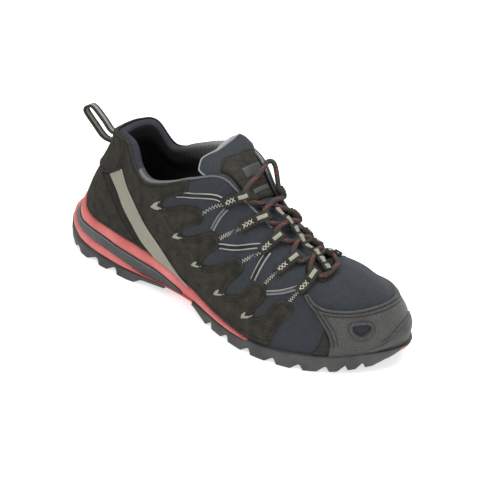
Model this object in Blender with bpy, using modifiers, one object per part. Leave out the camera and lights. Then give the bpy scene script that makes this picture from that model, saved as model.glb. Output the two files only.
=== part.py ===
"""Low-cut safety shoe for the right foot, made from the pieces that a maker joins.

Tables are in millimetres: the toe points along +X, the inner side of the foot along +Y
and the floor is Z = 0. Every piece hangs on one empty, which carries the tables' frame to
the middle of the shoe's footprint.
"""

import bmesh
import bpy
import numpy as np
from mathutils import Vector
from mathutils.geometry import delaunay_2d_cdt

MM = 0.001
SHOE = "safety_shoe"

# Driving sizes, in millimetres
FOOTPRINT_MIDDLE = (139.85, -2.47)
GAP = 0.3
FEATHER_INSET = 1.6
WALL = 2.4
COLLAR_PAD = 4.6
SKIN_CLEARANCE = 0.6
OVERLAY = 1.3
STRIP = 0.9
INSOLE = 3.2
INSOLE_CLEARANCE = 2.2
LACE_RADIUS = 2.1
WEBBING = 1.8
LOOP_WIDTH = 7.5
KEEPER_WIDTH = 9.0
PULL_LOOP_WIDTH = 9.5
TONGUE_THICKNESS = (4.0, 8.0)
TONGUE_CLEARANCE = 1.0
BUMPER = (0.5, 3.2)
BUMPER_ROOT = 5.0
TREAD_DEPTH = 5.0
NOTCH_WIDTH = 5.0
NOTCH_REACH = 20.0

# Steps between neighbouring lines of the upper's mesh, in sections and as a count of rings
STEP = 1 / 3
RINGS = 10
# Rough millimetres to a section round the shoe and to the whole height of a section
SECTION_MM = 22.0
HEIGHT_MM = 80.0
PANEL_PITCH = 9.0
TONGUE_COLUMNS = 9
TONGUE_ROWS = 8

# Metres within which corners are one, and the angle in degrees past which an edge is sharp
MERGE = 1e-5
SHARP = 40.0

# A row for each section round the shoe, from the back of the heel along the outer side to
# the toe and home along the inner side: the sole's edge and the height of the feather line,
# then the edge of the collar and throat.
# foot_x, foot_y, foot_z, rim_x, rim_y, rim_z
SECTIONS = np.array((
    (1, 0, 51, 30, 0, 110),
    (6.5, -20, 49, 35, -12, 111),
    (22, -35, 40.5, 54, -20, 110),
    (50, -38, 36.2, 66, -26, 98),
    (80, -38, 33, 80, -29, 91),
    (108, -37.5, 26.8, 102, -31, 97),
    (135, -39.5, 19.8, 127, -28, 107),
    (158, -44, 14, 150, -20, 114),
    (180, -49, 12, 169, -15, 100),
    (202, -51.5, 10.6, 188, -13, 88),
    (224, -49, 11, 206, -11, 78),
    (245, -42, 12.4, 220, -8, 71.5),
    (266, -29, 14, 227, -3, 68.5),
    (285, -9, 16, 230, 2, 67.5),
    (297, 9, 18, 231, 5, 67),
    (296, 25, 16.5, 229.5, 7.5, 66),
    (284, 37, 14.3, 225, 9, 65),
    (263, 44, 12.5, 216, 10.5, 66),
    (238, 46.5, 11.1, 203, 12.5, 71),
    (213, 45.5, 10.7, 187, 16, 80.5),
    (188, 41.5, 12.1, 168, 19.5, 94.5),
    (162, 35.5, 14, 150, 24, 113.5),
    (138, 31.5, 19.8, 127, 31, 115.5),
    (110, 31, 26.8, 103, 33, 110),
    (80, 35, 33, 80, 32, 100.5),
    (50, 38, 36.2, 58, 29, 92),
    (22, 35, 40.5, 45, 21, 111.5),
    (6.5, 20, 49, 35, 12, 112.5),
), float)
COUNT = len(SECTIONS)
TOE = COUNT // 2

# How full the last is between feather line and rim.
# section, bulge, rise, reach, drop
FULLNESS = np.array((
    (0, -6, 22, 5, 24),
    (1, -5.5, 22, 5, 24),
    (2, -1, 21, 3, 24),
    (4, 1, 20, 4, 24),
    (7, 0, 30, 16, 18),
    (10, 0, 34, 26, 9),
    (12, 1, 38, 32, 3),
    (14, 2, 38, 33, 0),
    (16, 1, 33, 26, 0),
    (18, 0, 22, 15, 9),
    (21, 0, 26, 12, 20),
    (24, 1, 20, 4, 24),
    (26, -1, 21, 3, 24),
    (27, -5.5, 22, 5, 24),
    (28, -6, 22, 5, 24),
), float)

# Heights of the layers under the heel, a row for each rung from heel to arch.
# rung, ground, tread_top, wedge_top, band_top
HEEL_LAYERS = np.array((
    (0, 2.0, 28.0, 36.0, 42.0),
    (1, 0.5, 25.5, 33.8, 39.5),
    (2, 0.0, 15.0, 24.2, 30.8),
    (2.75, 0.0, 11.8, 19.8, 27.6),
    (3.5, 0.0, 10.4, 16.5, 24.4),
    (4, 0.5, 9.8, 12.8, 23.2),
    (4.5, 5.0, 9.8, 11.3, 22.2),
    (5, 8.0, 10.0, 12.6, 18.6),
    (5.7, 8.0, 9.2, 11.4, 12.8),
    (6.1, 8.0, 8.4, 10.2, 10.6),
), float)
HEEL_TREAD_END = 4.95
WEDGE_END = 6.1
BAND_END = 5.6
ARCH_START = 5.7

# The ball and toe: how high the tread stands and how thick the red layer over it is.
# rung, ground, midsole_thickness
FOREFOOT = np.array((
    (6.2, 6.0, 8.2),
    (6.5, 3.0, 7.0),
    (7, 0.0, 5.2),
    (8, 0.0, 3.6),
    (9, 0.0, 0.8),
    (11, 0.0, 0.0),
    (12, 1.5, 0.0),
    (13, 5.2, 0.0),
    (14, 11.0, 0.0),
), float)
FOREFOOT_START = 6.2
FOREFOOT_JOINT = 0.05
MIDSOLE_END = 9.0

# How far the heel of the sole stands out behind the upper at each height
# height, kick
HEEL_KICK = np.array(((0, 17.5), (9, 20), (21.5, 18.5), (29.5, 15), (35, 9.5), (42.5, 4), (50, 0)), float)
KICK_LENGTH = 45.0

# Side of a layer: share of its height, how far it stands out
ROUND_SIDE = ((0.0, -1.0), (0.25, 0.8), (0.75, 0.8), (1.0, -1.0))
RECESSED_SIDE = ((0.0, -1.0), (0.2, -0.6), (0.8, -0.6), (1.0, -1.0))
TREAD_SIDE = ((0.0, -1.5), (0.3, 1.0), (0.8, 1.2), (1.0, -1.0))
FOXING_SIDE = ((0.0, -1.5), (0.3, 1.4), (0.8, 1.2), (1.0, 0.0))
PLAIN_SIDE = ((0.0, 0.0), (1.0, 0.0))

# Upper edge of the toe bumper: section, share of the height
BUMPER_EDGE = np.array((
    (12.3, 0.02), (13.0, 0.03), (13.3, 0.055), (13.6, 0.1), (14.0, 0.17), (14.6, 0.215),
    (15.2, 0.21), (15.8, 0.16), (16.4, 0.08), (17.0, 0.02),
), float)

# The collar's padding: the section where it ends and the sections it fades over, then the
# share of the height where it starts and the share it swells over
COLLAR_FRONT = 6.6
COLLAR_FADE = 1.2
PAD_START = 0.62
PAD_RUN = 0.25

# Outlines of the outer side's overlays, where a point given twice is a corner:
# section, share of the height
TOE_CAP_OUTLINE = (
    (11.93, 0.05), (11.93, 0.05), (11.87, 0.13), (11.67, 0.23), (11.47, 0.415), (11.47, 0.415),
    (12.1, 0.39), (12.7, 0.37), (13.5, 0.367), (14.3, 0.383), (15.1, 0.41), (15.9, 0.43),
    (16.6, 0.45), (16.6, 0.45), (16.45, 0.3), (16.3, 0.15), (16.3, 0.15), (15.8, 0.2),
    (15.2, 0.25), (14.6, 0.255), (14.0, 0.21), (13.6, 0.14), (13.3, 0.1), (13.0, 0.07), (12.4, 0.05),
)
TOE_CAP_HOLE = (
    (12.5, 0.235), (12.8, 0.245), (13.08, 0.23), (13.05, 0.17), (12.75, 0.11), (12.55, 0.15),
)
QUARTER_OUTLINE = (
    (0.06, 0.03), (0.06, 0.03), (2.0, 0.03), (5.0, 0.03), (8.0, 0.03), (9.85, 0.03), (9.85, 0.03),
    (10.03, 0.14), (10.35, 0.255), (10.6, 0.33), (10.7, 0.395), (10.6, 0.43), (10.38, 0.445),
    (10.12, 0.42), (9.88, 0.35), (9.65, 0.255), (9.15, 0.2),
    (9.28, 0.275), (9.5, 0.34), (9.65, 0.405), (9.65, 0.465), (9.5, 0.5), (9.28, 0.5),
    (9.08, 0.47), (8.88, 0.4), (8.53, 0.31), (7.83, 0.23),
    (8.03, 0.32), (8.33, 0.4), (8.58, 0.47), (8.65, 0.515), (8.55, 0.55), (8.33, 0.55),
    (8.08, 0.525), (7.83, 0.47), (7.35, 0.375), (6.6, 0.3),
    (6.78, 0.37), (7.1, 0.43), (7.4, 0.495), (7.43, 0.53), (7.33, 0.56), (7.15, 0.57),
    (6.85, 0.545), (6.35, 0.495), (5.74, 0.455),
    (5.85, 0.515), (6.15, 0.555), (6.5, 0.58), (6.62, 0.615), (6.62, 0.655), (6.5, 0.69),
    (6.23, 0.715), (5.68, 0.72), (5.03, 0.7), (5.0, 0.765), (5.3, 0.81), (5.65, 0.825),
    (5.95, 0.83), (5.95, 0.83), (5.95, 0.895), (5.9, 0.965), (5.9, 0.965),
    (4.5, 0.965), (3.0, 0.965), (1.5, 0.965), (0.06, 0.965), (0.06, 0.965),
)
HEEL_STRIP_OUTLINE = (
    (1.95, 0.6), (1.95, 0.6), (2.43, 0.59), (2.93, 0.535), (3.4, 0.41), (3.9, 0.19), (4.28, 0.08),
    (4.62, 0.035), (4.62, 0.035), (5.5, 0.035), (5.5, 0.035), (5.38, 0.075), (4.95, 0.23),
    (4.45, 0.43), (3.85, 0.63), (3.2, 0.73), (2.5, 0.76), (2.5, 0.76),
)

# Lace loops of each side: where each is sewn down and where its end holds the lace. The
# sections of the inner side are counted from the heel as well.
# base_section, base_share, end_section, end_share
OUTER_LOOPS = (
    (7.37, 0.79, 7.83, 0.985),
    (8.23, 0.765, 8.77, 0.985),
    (9.2, 0.74, 9.57, 0.965),
    (9.93, 0.675, 10.53, 0.9),
    (10.87, 0.585, 11.6, 0.8),
)
INNER_LOOPS = (
    (7.6, 0.79, 8.1, 0.985),
    (8.45, 0.775, 9.03, 0.985),
    (9.45, 0.77, 9.9, 0.975),
    (10.2, 0.75, 10.8, 0.965),
    (11.4, 0.73, 12.2, 0.955),
)

# How far the lace stands clear of the upper, how far its bottom bar bows forward and up, and
# how far the keeper stands clear of the crossings and reaches past the topmost one, as a share
# of the way to the next
LACE_RAISE = 1.1
BAR_BOW = (1.0, 0.0, 3.0)
KEEPER_RAISE = 1.9
KEEPER_LEAD = 0.3

# The tongue inside the throat, by sections from the throat's front end, then its free tip.
# sections_back, spread (1 reaches the throat's edges)
TONGUE_SPREAD = np.array(((0.8, 1.08), (3, 1.18), (5, 1.1), (6.2, 0.9), (7, 0.88)), float)
# tip_x, tip_z, half_width, tilt (how much higher its inner edge stands than its middle)
TONGUE_TIP = (
    (142, 117, 21, 3.5), (136, 119, 22.5, 4.2), (131, 120.5, 22.5, 4.6), (127.5, 121.5, 21, 4.8),
)
TONGUE_MIDDLE_Y = 2.5
TONGUE_CROWN = 1.5

# The heel's pull loop: shares of the heel's height where its rear and front feet are sewn,
# and the side view of its free part from the rear foot to the front one, x and z
PULL_LOOP_REAR = (0.58, 0.66)
PULL_LOOP_FRONT = (0.84, 0.76)
PULL_LOOP_FREE = (
    (8.0, 93.0), (-4.0, 102.0), (-11.5, 108.5), (-13.0, 111.5), (-10.5, 114.0), (-5.5, 114.0),
    (13.0, 103.0),
)

# Colour, roughness and metallic value of each material
FINISHES = {
    "dark_rubber": ((0.085, 0.085, 0.085), 0.75, 0.0),
    "red_foam": ((0.72, 0.14, 0.14), 0.6, 0.0),
    "grey_band": ((0.075, 0.075, 0.078), 0.55, 0.0),
    "foot_bed": ((0.03, 0.03, 0.032), 0.9, 0.0),
    "navy_textile": ((0.045, 0.052, 0.065), 0.85, 0.0),
    "padded_textile": ((0.05, 0.055, 0.065), 0.9, 0.0),
    "grained_cap": ((0.09, 0.09, 0.088), 0.6, 0.0),
    "dark_suede": ((0.04, 0.038, 0.033), 0.9, 0.0),
    "reflective_strip": ((0.27, 0.26, 0.2), 0.45, 0.0),
    "webbing": ((0.06, 0.058, 0.052), 0.8, 0.0),
    "lace_cord": ((0.07, 0.066, 0.06), 0.8, 0.0),
}

# Notches between the lugs: x of each, on both edges of the tread
HEEL_NOTCHES = (9.0, 28.0, 53.0, 79.0)
FOREFOOT_NOTCHES = (163.0, 184.0, 204.0, 225.0, 243.0, 260.0, 274.0)
BLOCK_FACES = (
    (0, 1, 3, 2), (4, 6, 7, 5), (0, 4, 5, 1), (2, 3, 7, 6), (0, 2, 6, 4), (1, 5, 7, 3),
)


# Form of the last

def around(rows, place):
    """Rows round the shoe, read at any place between them by a smooth closed curve."""
    place = np.asarray(place, float) % COUNT
    index = np.floor(place).astype(int)
    share = place - index
    before, here, after, beyond = (rows[(index + k) % COUNT] for k in (-1, 0, 1, 2))
    if rows.ndim > 1:
        share = share[..., None]
    return 0.5 * (
        2 * here
        + (after - before) * share
        + (2 * before - 5 * here + 4 * after - beyond) * share**2
        + (3 * here - before - 3 * after + beyond) * share**3
    )


def fullness_rows():
    """Fullness at every section, from its few key rows."""
    sections = np.arange(COUNT)
    columns = [np.interp(sections, FULLNESS[:, 0], FULLNESS[:, k]) for k in range(1, 5)]
    return np.stack(columns, 1)


FULLNESS_ROWS = fullness_rows()


def outward(place):
    """Level direction that points away from the shoe at a place round it."""
    place = np.asarray(place, float)
    along = around(SECTIONS[:, :2], place + STEP) - around(SECTIONS[:, :2], place - STEP)
    across = np.stack([along[..., 1], -along[..., 0], 0 * along[..., 0]], -1)
    return across / np.linalg.norm(across, axis=-1, keepdims=True)


def last(place, share):
    """Outer face of the upper at a place round the shoe and a share of the way to the rim."""
    place, share = np.broadcast_arrays(np.asarray(place, float), np.asarray(share, float))
    row = around(SECTIONS, place)
    bulge, rise, reach, drop = np.moveaxis(around(FULLNESS_ROWS, place), -1, 0)[..., None]
    out = outward(place)
    up = np.array((0.0, 0.0, 1.0))
    foot = row[..., :3] - FEATHER_INSET * out
    rim = row[..., 3:]
    belly = foot + bulge * out + rise * up
    shoulder = rim + reach * out - drop * up
    t = share[..., None]
    s = 1 - t
    return s**3 * foot + 3 * t * s**2 * belly + 3 * t**2 * s * shoulder + t**3 * rim


def skin(place, share, lift):
    """A point at a height above the upper's outer face."""
    place, share = np.broadcast_arrays(np.asarray(place, float), np.asarray(share, float))
    little = 0.01
    along = last(place + little, share) - last(place - little, share)
    high = np.minimum(share + little, 1.0)
    low = np.maximum(share - little, 0.0)
    normal = np.cross(along, last(place, high) - last(place, low))
    normal /= np.linalg.norm(normal, axis=-1, keepdims=True)
    return last(place, share) + np.asarray(lift, float)[..., None] * normal


def sole_edge(place, flare, height):
    """A point on the side of the sole."""
    place = np.asarray(place, float)
    point = around(SECTIONS[:, :2], place) + flare * outward(place)[..., :2]
    fade = np.clip(1 - point[..., 0] / KICK_LENGTH, 0, 1)
    fade = fade * fade * (3 - 2 * fade)
    kick = np.interp(height, HEEL_KICK[:, 0], HEEL_KICK[:, 1])
    return np.stack([point[..., 0] - kick * fade, point[..., 1], height], -1)


def feather(rung):
    """Height of the feather line at a rung from heel to toe."""
    return around(SECTIONS[:, 2], rung)


# Meshes

def clear_scene():
    """Remove whatever the file starts with."""
    for thing in list(bpy.data.objects):
        bpy.data.objects.remove(thing)


def make_materials():
    """One plain material for each finish."""
    made = {}
    for name, (colour, roughness, metallic) in FINISHES.items():
        material = bpy.data.materials.new(name)
        material.use_nodes = True
        shader = material.node_tree.nodes["Principled BSDF"]
        shader.inputs["Base Color"].default_value = (*colour, 1.0)
        shader.inputs["Roughness"].default_value = roughness
        shader.inputs["Metallic"].default_value = metallic
        material.diffuse_color = (*colour, 1.0)
        made[name] = material
    return made


class Shop:
    """Keeps the collections, the materials and the empty that every piece hangs on."""

    def __init__(self):
        self.materials = make_materials()
        self.parts = bpy.data.collections.new(SHOE)
        self.cutters = bpy.data.collections.new(SHOE + "_cutters")
        for collection in (self.parts, self.cutters):
            bpy.context.scene.collection.children.link(collection)
        self.root = bpy.data.objects.new(SHOE + "_frame", None)
        self.root.location = (-FOOTPRINT_MIDDLE[0] * MM, -FOOTPRINT_MIDDLE[1] * MM, 0)
        self.parts.objects.link(self.root)

    def add(self, name, points, faces, finish=None, closed=True):
        """An object from points in millimetres; one with no finish is a cutter."""
        mesh = bpy.data.meshes.new(name)
        mesh.from_pydata([tuple(point) for point in np.asarray(points) * MM], [], faces)
        work = bmesh.new()
        work.from_mesh(mesh)
        bmesh.ops.remove_doubles(work, verts=work.verts, dist=MERGE)
        if closed:
            bmesh.ops.recalc_face_normals(work, faces=work.faces)
        work.to_mesh(mesh)
        work.free()
        mesh.shade_smooth()
        mesh.set_sharp_from_angle(angle=np.radians(SHARP))
        piece = bpy.data.objects.new(name, mesh)
        piece.parent = self.root
        if finish is None:
            piece.hide_render = True
            piece.display_type = "WIRE"
            self.cutters.objects.link(piece)
        else:
            mesh.materials.append(self.materials[finish])
            self.parts.objects.link(piece)
        return piece


def boolean(piece, other, operation):
    """Cut or join a piece with another one."""
    modifier = piece.modifiers.new(operation.lower(), "BOOLEAN")
    modifier.operation = operation
    modifier.solver = "EXACT"
    modifier.object = other


def grid_faces(rows, columns, closed_columns=False, closed_rows=False):
    """Quads of a grid of points, row by row."""
    faces = []
    for row in range(rows if closed_rows else rows - 1):
        below = (row + 1) % rows
        for column in range(columns if closed_columns else columns - 1):
            beside = (column + 1) % columns
            faces.append((
                row * columns + column, below * columns + column,
                below * columns + beside, row * columns + beside,
            ))
    return faces


def slab(outer, inner):
    """Points and faces of a closed sheet between two grids of the same shape."""
    rows, columns = outer.shape[:2]
    count = rows * columns
    top = grid_faces(rows, columns)
    faces = top + [tuple(count + k for k in reversed(face)) for face in top]
    border = list(range(columns))
    border += [row * columns + columns - 1 for row in range(1, rows)]
    border += [(rows - 1) * columns + k for k in range(columns - 2, -1, -1)]
    border += [row * columns for row in range(rows - 2, 0, -1)]
    for first, second in zip(border, border[1:] + border[:1]):
        faces.append((first, second, count + second, count + first))
    return np.concatenate([outer.reshape(-1, 3), inner.reshape(-1, 3)]), faces


def rungs(start, end):
    """Rungs of the sole between two ends, on the same lines as the upper's mesh."""
    lines = np.arange(0, TOE + STEP / 2, STEP)
    inner = lines[(lines > start + STEP / 4) & (lines < end - STEP / 4)]
    return np.concatenate([[start], inner, [end]])


def sole_plate(places, low, high, side, inset=0.0):
    """Points and faces of a layer of the sole: a loft of cross sections, one to a rung."""
    rings = []
    for rung, bottom, top in zip(places, low, high):
        half = [(bottom + share * (top - bottom), flare - inset) for share, flare in side]
        outer = [sole_edge(rung, flare, height) for height, flare in half]
        inner = [sole_edge(COUNT - rung, flare, height) for height, flare in half]
        rings.append(outer + inner[::-1])
    columns = 2 * len(side)
    faces = grid_faces(len(places), columns, closed_columns=True)
    if places[0] > 0:
        faces.append(tuple(range(columns)))
    if places[-1] < TOE:
        faces.append(tuple((len(places) - 1) * columns + k for k in range(columns)))
    return np.array(rings).reshape(-1, 3), faces


def smooth_outline(points, pitch):
    """A closed curve through hand-set points, with a corner point about every pitch."""
    points = np.asarray(points, float) * (SECTION_MM, HEIGHT_MM)
    count = len(points)
    made = []
    for k in range(count):
        before, here, after, beyond = (points[(k + n) % count] for n in (-1, 0, 1, 2))
        length = np.linalg.norm(after - here)
        steps = max(1, round(length / pitch)) if length else 0
        for step in range(steps):
            t = step / steps
            made.append(0.5 * (
                2 * here + (after - before) * t
                + (2 * before - 5 * here + 4 * after - beyond) * t**2
                + (3 * here - before - 3 * after + beyond) * t**3
            ))
    return np.array(made)


def inside(point, loop):
    """Whether a flat point lies inside a closed curve."""
    ahead = np.roll(loop, -1, axis=0)
    crossed = (loop[:, 1] > point[1]) != (ahead[:, 1] > point[1])
    first, second = loop[crossed], ahead[crossed]
    share = (point[1] - first[:, 1]) / (second[:, 1] - first[:, 1])
    return np.sum(first[:, 0] + share * (second[:, 0] - first[:, 0]) > point[0]) % 2 == 1


def panel(outline, holes, low, high, mirrored=False):
    """Points and faces of an overlay cut between two skins over the upper."""
    loops = [smooth_outline(points, PANEL_PITCH) for points in (outline, *holes)]
    flat, edges = [], []
    for loop in loops:
        start = len(flat)
        flat.extend(loop)
        edges += [(start + k, start + (k + 1) % len(loop)) for k in range(len(loop))]
    border = np.array(flat)
    lowest, highest = border.min(0), border.max(0)
    for x in np.arange(lowest[0] + PANEL_PITCH / 2, highest[0], PANEL_PITCH):
        for y in np.arange(lowest[1] + PANEL_PITCH / 2, highest[1], PANEL_PITCH):
            if np.linalg.norm(border - (x, y), axis=1).min() > PANEL_PITCH / 2:
                flat.append(np.array((x, y)))
    within_edges = 1
    result = delaunay_2d_cdt([Vector(p) for p in flat], edges, [], within_edges, 1e-6)
    flat = np.array([tuple(p) for p in result[0]])
    top = [
        tuple(face) for face in result[2]
        if not any(inside(flat[face].mean(axis=0), hole) for hole in loops[1:])
    ]
    spots = flat / (SECTION_MM, HEIGHT_MM)
    places = COUNT - spots[:, 0] if mirrored else spots[:, 0]
    count = len(spots)
    faces = top + [tuple(count + k for k in reversed(face)) for face in top]
    sides = [(f[k], f[(k + 1) % len(f)]) for f in top for k in range(len(f))]
    taken = set(sides)
    faces += [(b, a, count + a, count + b) for a, b in sides if (b, a) not in taken]
    outer = skin(places, spots[:, 1], high)
    inner = skin(places, spots[:, 1], low)
    return np.concatenate([outer, inner]), faces


# Sole

def heel_layer(column, places):
    """A height of the heel's layers at rungs."""
    return np.interp(places, HEEL_LAYERS[:, 0], HEEL_LAYERS[:, column])


def build_heel(shop):
    """Tread, red wedge and stabiliser band under heel and arch."""
    places = rungs(0, HEEL_TREAD_END)
    tread = shop.add("outsole_heel", *sole_plate(
        places, heel_layer(1, places), heel_layer(2, places), TREAD_SIDE), "dark_rubber")
    boolean(tread, notch_cutter(shop, "heel_notches", HEEL_NOTCHES), "DIFFERENCE")
    places = rungs(0, WEDGE_END)
    shop.add("heel_wedge", *sole_plate(
        places, heel_layer(2, places) + GAP, heel_layer(3, places), ROUND_SIDE), "red_foam")
    places = rungs(0, BAND_END)
    shop.add("stabiliser", *sole_plate(
        places, heel_layer(3, places) + GAP, heel_layer(4, places), RECESSED_SIDE), "grey_band")


def build_midsole(shop):
    """Red layer over heel and arch, which runs out at the ball."""
    heel = rungs(0, BAND_END)
    arch = rungs(ARCH_START, FOREFOOT_START - FOREFOOT_JOINT)
    front = rungs(FOREFOOT_START, MIDSOLE_END)
    places = np.concatenate([heel, arch, front])
    thickness = np.interp(front, FOREFOOT[:, 0], FOREFOOT[:, 2])
    low = np.concatenate([
        heel_layer(4, heel) + GAP,
        heel_layer(3, arch) + GAP,
        feather(front) - GAP - thickness,
    ])
    shop.add("midsole", *sole_plate(places, low, feather(places) - GAP, ROUND_SIDE), "red_foam")


def build_forefoot(shop):
    """Tread under ball and toe, with the bumper that climbs over the toe."""
    places = rungs(FOREFOOT_START, TOE)
    ground = np.interp(places, FOREFOOT[:, 0], FOREFOOT[:, 1])
    thickness = np.interp(places, FOREFOOT[:, 0], FOREFOOT[:, 2])
    seat = np.where(places <= MIDSOLE_END, thickness + 2 * GAP, GAP)
    tread = shop.add("outsole_forefoot", *sole_plate(
        places, ground, feather(places) - seat, FOXING_SIDE), "dark_rubber")
    boolean(tread, toe_bumper(shop), "UNION")
    boolean(tread, notch_cutter(shop, "forefoot_notches", FOREFOOT_NOTCHES), "DIFFERENCE")


def toe_bumper(shop):
    """The bumper's sheet over the toe, rooted in the tread."""
    places = np.arange(BUMPER_EDGE[0, 0], BUMPER_EDGE[-1, 0] + STEP / 2, STEP)
    top = np.interp(places, BUMPER_EDGE[:, 0], BUMPER_EDGE[:, 1])
    near, far = BUMPER
    root = np.array((0.0, 0.0, BUMPER_ROOT))

    def sheet(lift):
        foot = skin(places, 0.0, lift)
        return np.stack([foot - root, foot, skin(places, top / 2, lift), skin(places, top, lift)], 1)

    return shop.add("toe_bumper", *slab(sheet(far), sheet(near)))


def notch_cutter(shop, name, stations):
    """Blocks that cut the gaps between lugs out of both edges of a tread."""
    points, faces = [], []
    for x in stations:
        for side in (-1, 1):
            y = edge_at(x, side)
            start = len(points)
            for dx in (-NOTCH_WIDTH / 2, NOTCH_WIDTH / 2):
                for dy in (-side * NOTCH_REACH, side * NOTCH_REACH):
                    for z in (-TREAD_DEPTH, TREAD_DEPTH + ground_at(x)):
                        points.append((x + dx, y + dy, z))
            faces += [tuple(start + k for k in face) for face in BLOCK_FACES]
    return shop.add(name, points, faces)


def edge_at(x, side):
    """Y of the sole's edge at a station, on the outer (-1) or inner (+1) side."""
    half = np.linspace(0, TOE, 20 * TOE)
    edge = around(SECTIONS[:, :2], half if side < 0 else COUNT - half)
    return edge[np.abs(edge[:, 0] - x).argmin(), 1]


def ground_at(x):
    """Height of the tread's underside at a station under ball and toe."""
    stations = around(SECTIONS[:, 0], FOREFOOT[:, 0])
    return np.interp(x, stations, np.where(FOREFOOT[:, 0] > MIDSOLE_END, FOREFOOT[:, 1], 0))


def build_insole(shop):
    """Foot bed inside the upper."""
    places = rungs(0, TOE)
    low = feather(places)
    inset = FEATHER_INSET + WALL + INSOLE_CLEARANCE
    shop.add("insole", *sole_plate(places, low, low + INSOLE, PLAIN_SIDE, inset), "foot_bed")


# Upper

def collar_share(place):
    """1 along the padded collar, 0 along the throat and over the toe."""
    from_back = np.minimum(place, COUNT - place)
    return np.clip((COLLAR_FRONT - from_back) / COLLAR_FADE, 0, 1)


def build_upper(shop):
    """One hollow wall from feather line to collar and throat, thicker at the collar."""
    places = np.arange(0, COUNT - STEP / 2, STEP)
    shares = np.linspace(0, 1, RINGS)
    points = last(places[:, None], shares[None, :])
    faces = grid_faces(len(places), RINGS, closed_rows=True)
    upper = shop.add("upper", points.reshape(-1, 3), faces, "navy_textile", closed=False)
    padding = upper.vertex_groups.new(name="collar_padding")
    swell = np.clip((shares - PAD_START) / PAD_RUN, 0, 1)
    weights = collar_share(places)[:, None] * swell[None, :]
    for index, weight in enumerate(weights.reshape(-1)):
        padding.add([index], float(weight), "REPLACE")
    wall = upper.modifiers.new("wall", "SOLIDIFY")
    wall.thickness = (WALL + COLLAR_PAD) * MM
    wall.offset = -1
    wall.vertex_group = padding.name
    wall.thickness_vertex_group = WALL / (WALL + COLLAR_PAD)


def build_overlays(shop):
    """Toe cap, suede quarters and the strips at the heel."""
    low, high = SKIN_CLEARANCE, SKIN_CLEARANCE + OVERLAY
    shop.add("toe_cap", *panel(TOE_CAP_OUTLINE, [TOE_CAP_HOLE], low, high), "grained_cap")
    strip_low = high + 2 * GAP
    for side, mirrored in (("outer", False), ("inner", True)):
        shop.add("quarter_" + side, *panel(QUARTER_OUTLINE, [], low, high, mirrored), "dark_suede")
        shop.add("heel_strip_" + side, *panel(
            HEEL_STRIP_OUTLINE, [], strip_low, strip_low + STRIP, mirrored), "reflective_strip")


def throat_line(back, spread, drop):
    """Points across the throat, under its edges, at some sections back from its front end."""
    across = np.linspace(-spread, spread, TONGUE_COLUMNS)
    beyond = np.maximum(np.abs(across) - 1, 0)
    outer = skin(TOE - back, 1 - beyond, -drop)
    inner = skin(TOE + back, 1 - beyond, -drop)
    mix = np.clip((across + 1) / 2, 0, 1)[:, None]
    line = outer * (1 - mix) + inner * mix
    line[:, 2] += TONGUE_CROWN * np.clip(1 - across**2, 0, 1)
    return line


def build_tongue(shop):
    """Padded tongue under the throat's edges, free above them."""
    drop = WALL + TONGUE_CLEARANCE
    backs = np.linspace(TONGUE_SPREAD[0, 0], TONGUE_SPREAD[-1, 0], TONGUE_ROWS)
    spreads = np.interp(backs, TONGUE_SPREAD[:, 0], TONGUE_SPREAD[:, 1])
    rows = [throat_line(back, spread, drop) for back, spread in zip(backs, spreads)]
    for x, z, half_width, tilt in TONGUE_TIP:
        across = np.linspace(-1, 1, TONGUE_COLUMNS)
        height = z + tilt * across + TONGUE_CROWN * (1 - across**2)
        level = np.full(TONGUE_COLUMNS, x)
        rows.append(np.stack([level, TONGUE_MIDDLE_Y + across * half_width, height], 1))
    top = np.array(rows)
    along = np.gradient(top, axis=0)
    across = np.gradient(top, axis=1)
    down = np.cross(along, across)
    down *= (np.where(down[..., 2] > 0, -1, 1) / np.linalg.norm(down, axis=-1))[..., None]
    swelling = (TONGUE_ROWS - 3, len(top) - 2)
    thickness = np.interp(np.arange(len(top)), swelling, TONGUE_THICKNESS)
    shop.add("tongue", *slab(top, top + thickness[:, None, None] * down), "padded_textile")


# Fastenings

def loop_end(row, mirrored, lift, reach=0.0):
    """Where a lace loop ends, some way past the end of its webbing."""
    base_section, base_share, end_section, end_share = row
    turn = (lambda place: COUNT - place) if mirrored else (lambda place: place)
    base = skin(turn(base_section), base_share, lift)
    end = skin(turn(end_section), end_share, lift)
    away = (end - base) / np.linalg.norm(end - base)
    return end + reach * away


def build_lace_loops(shop):
    """Five webbing loops a side, each a flat band from its stitching to its end."""
    for side, mirrored, loops in (("outer", False, OUTER_LOOPS), ("inner", True, INNER_LOOPS)):
        for number, row in enumerate(loops, 1):
            t = np.linspace(0, 1, 4)
            places = row[0] + t * (row[2] - row[0])
            places = COUNT - places if mirrored else places
            shares = row[1] + t * (row[3] - row[1])
            low = skin(places, shares, SKIN_CLEARANCE)
            high = skin(places, shares, SKIN_CLEARANCE + WEBBING)
            along = np.gradient(low, axis=0)
            across = np.cross(high - low, along)
            across *= LOOP_WIDTH / 2 / np.linalg.norm(across, axis=1)[:, None]
            under = np.stack([low - across, low + across], 1)
            over = np.stack([high - across, high + across], 1)
            shop.add(f"lace_loop_{side}_{number}", *slab(over, under), "webbing")


def lace_points():
    """Where the lace turns at each loop, outer side and inner side."""
    lift = SKIN_CLEARANCE + LACE_RADIUS + LACE_RAISE
    reach = LACE_RADIUS + 2 * GAP
    outer = [loop_end(row, False, lift, reach) for row in OUTER_LOOPS]
    inner = [loop_end(row, True, lift, reach) for row in INNER_LOOPS]
    return np.array(outer), np.array(inner)


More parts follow.
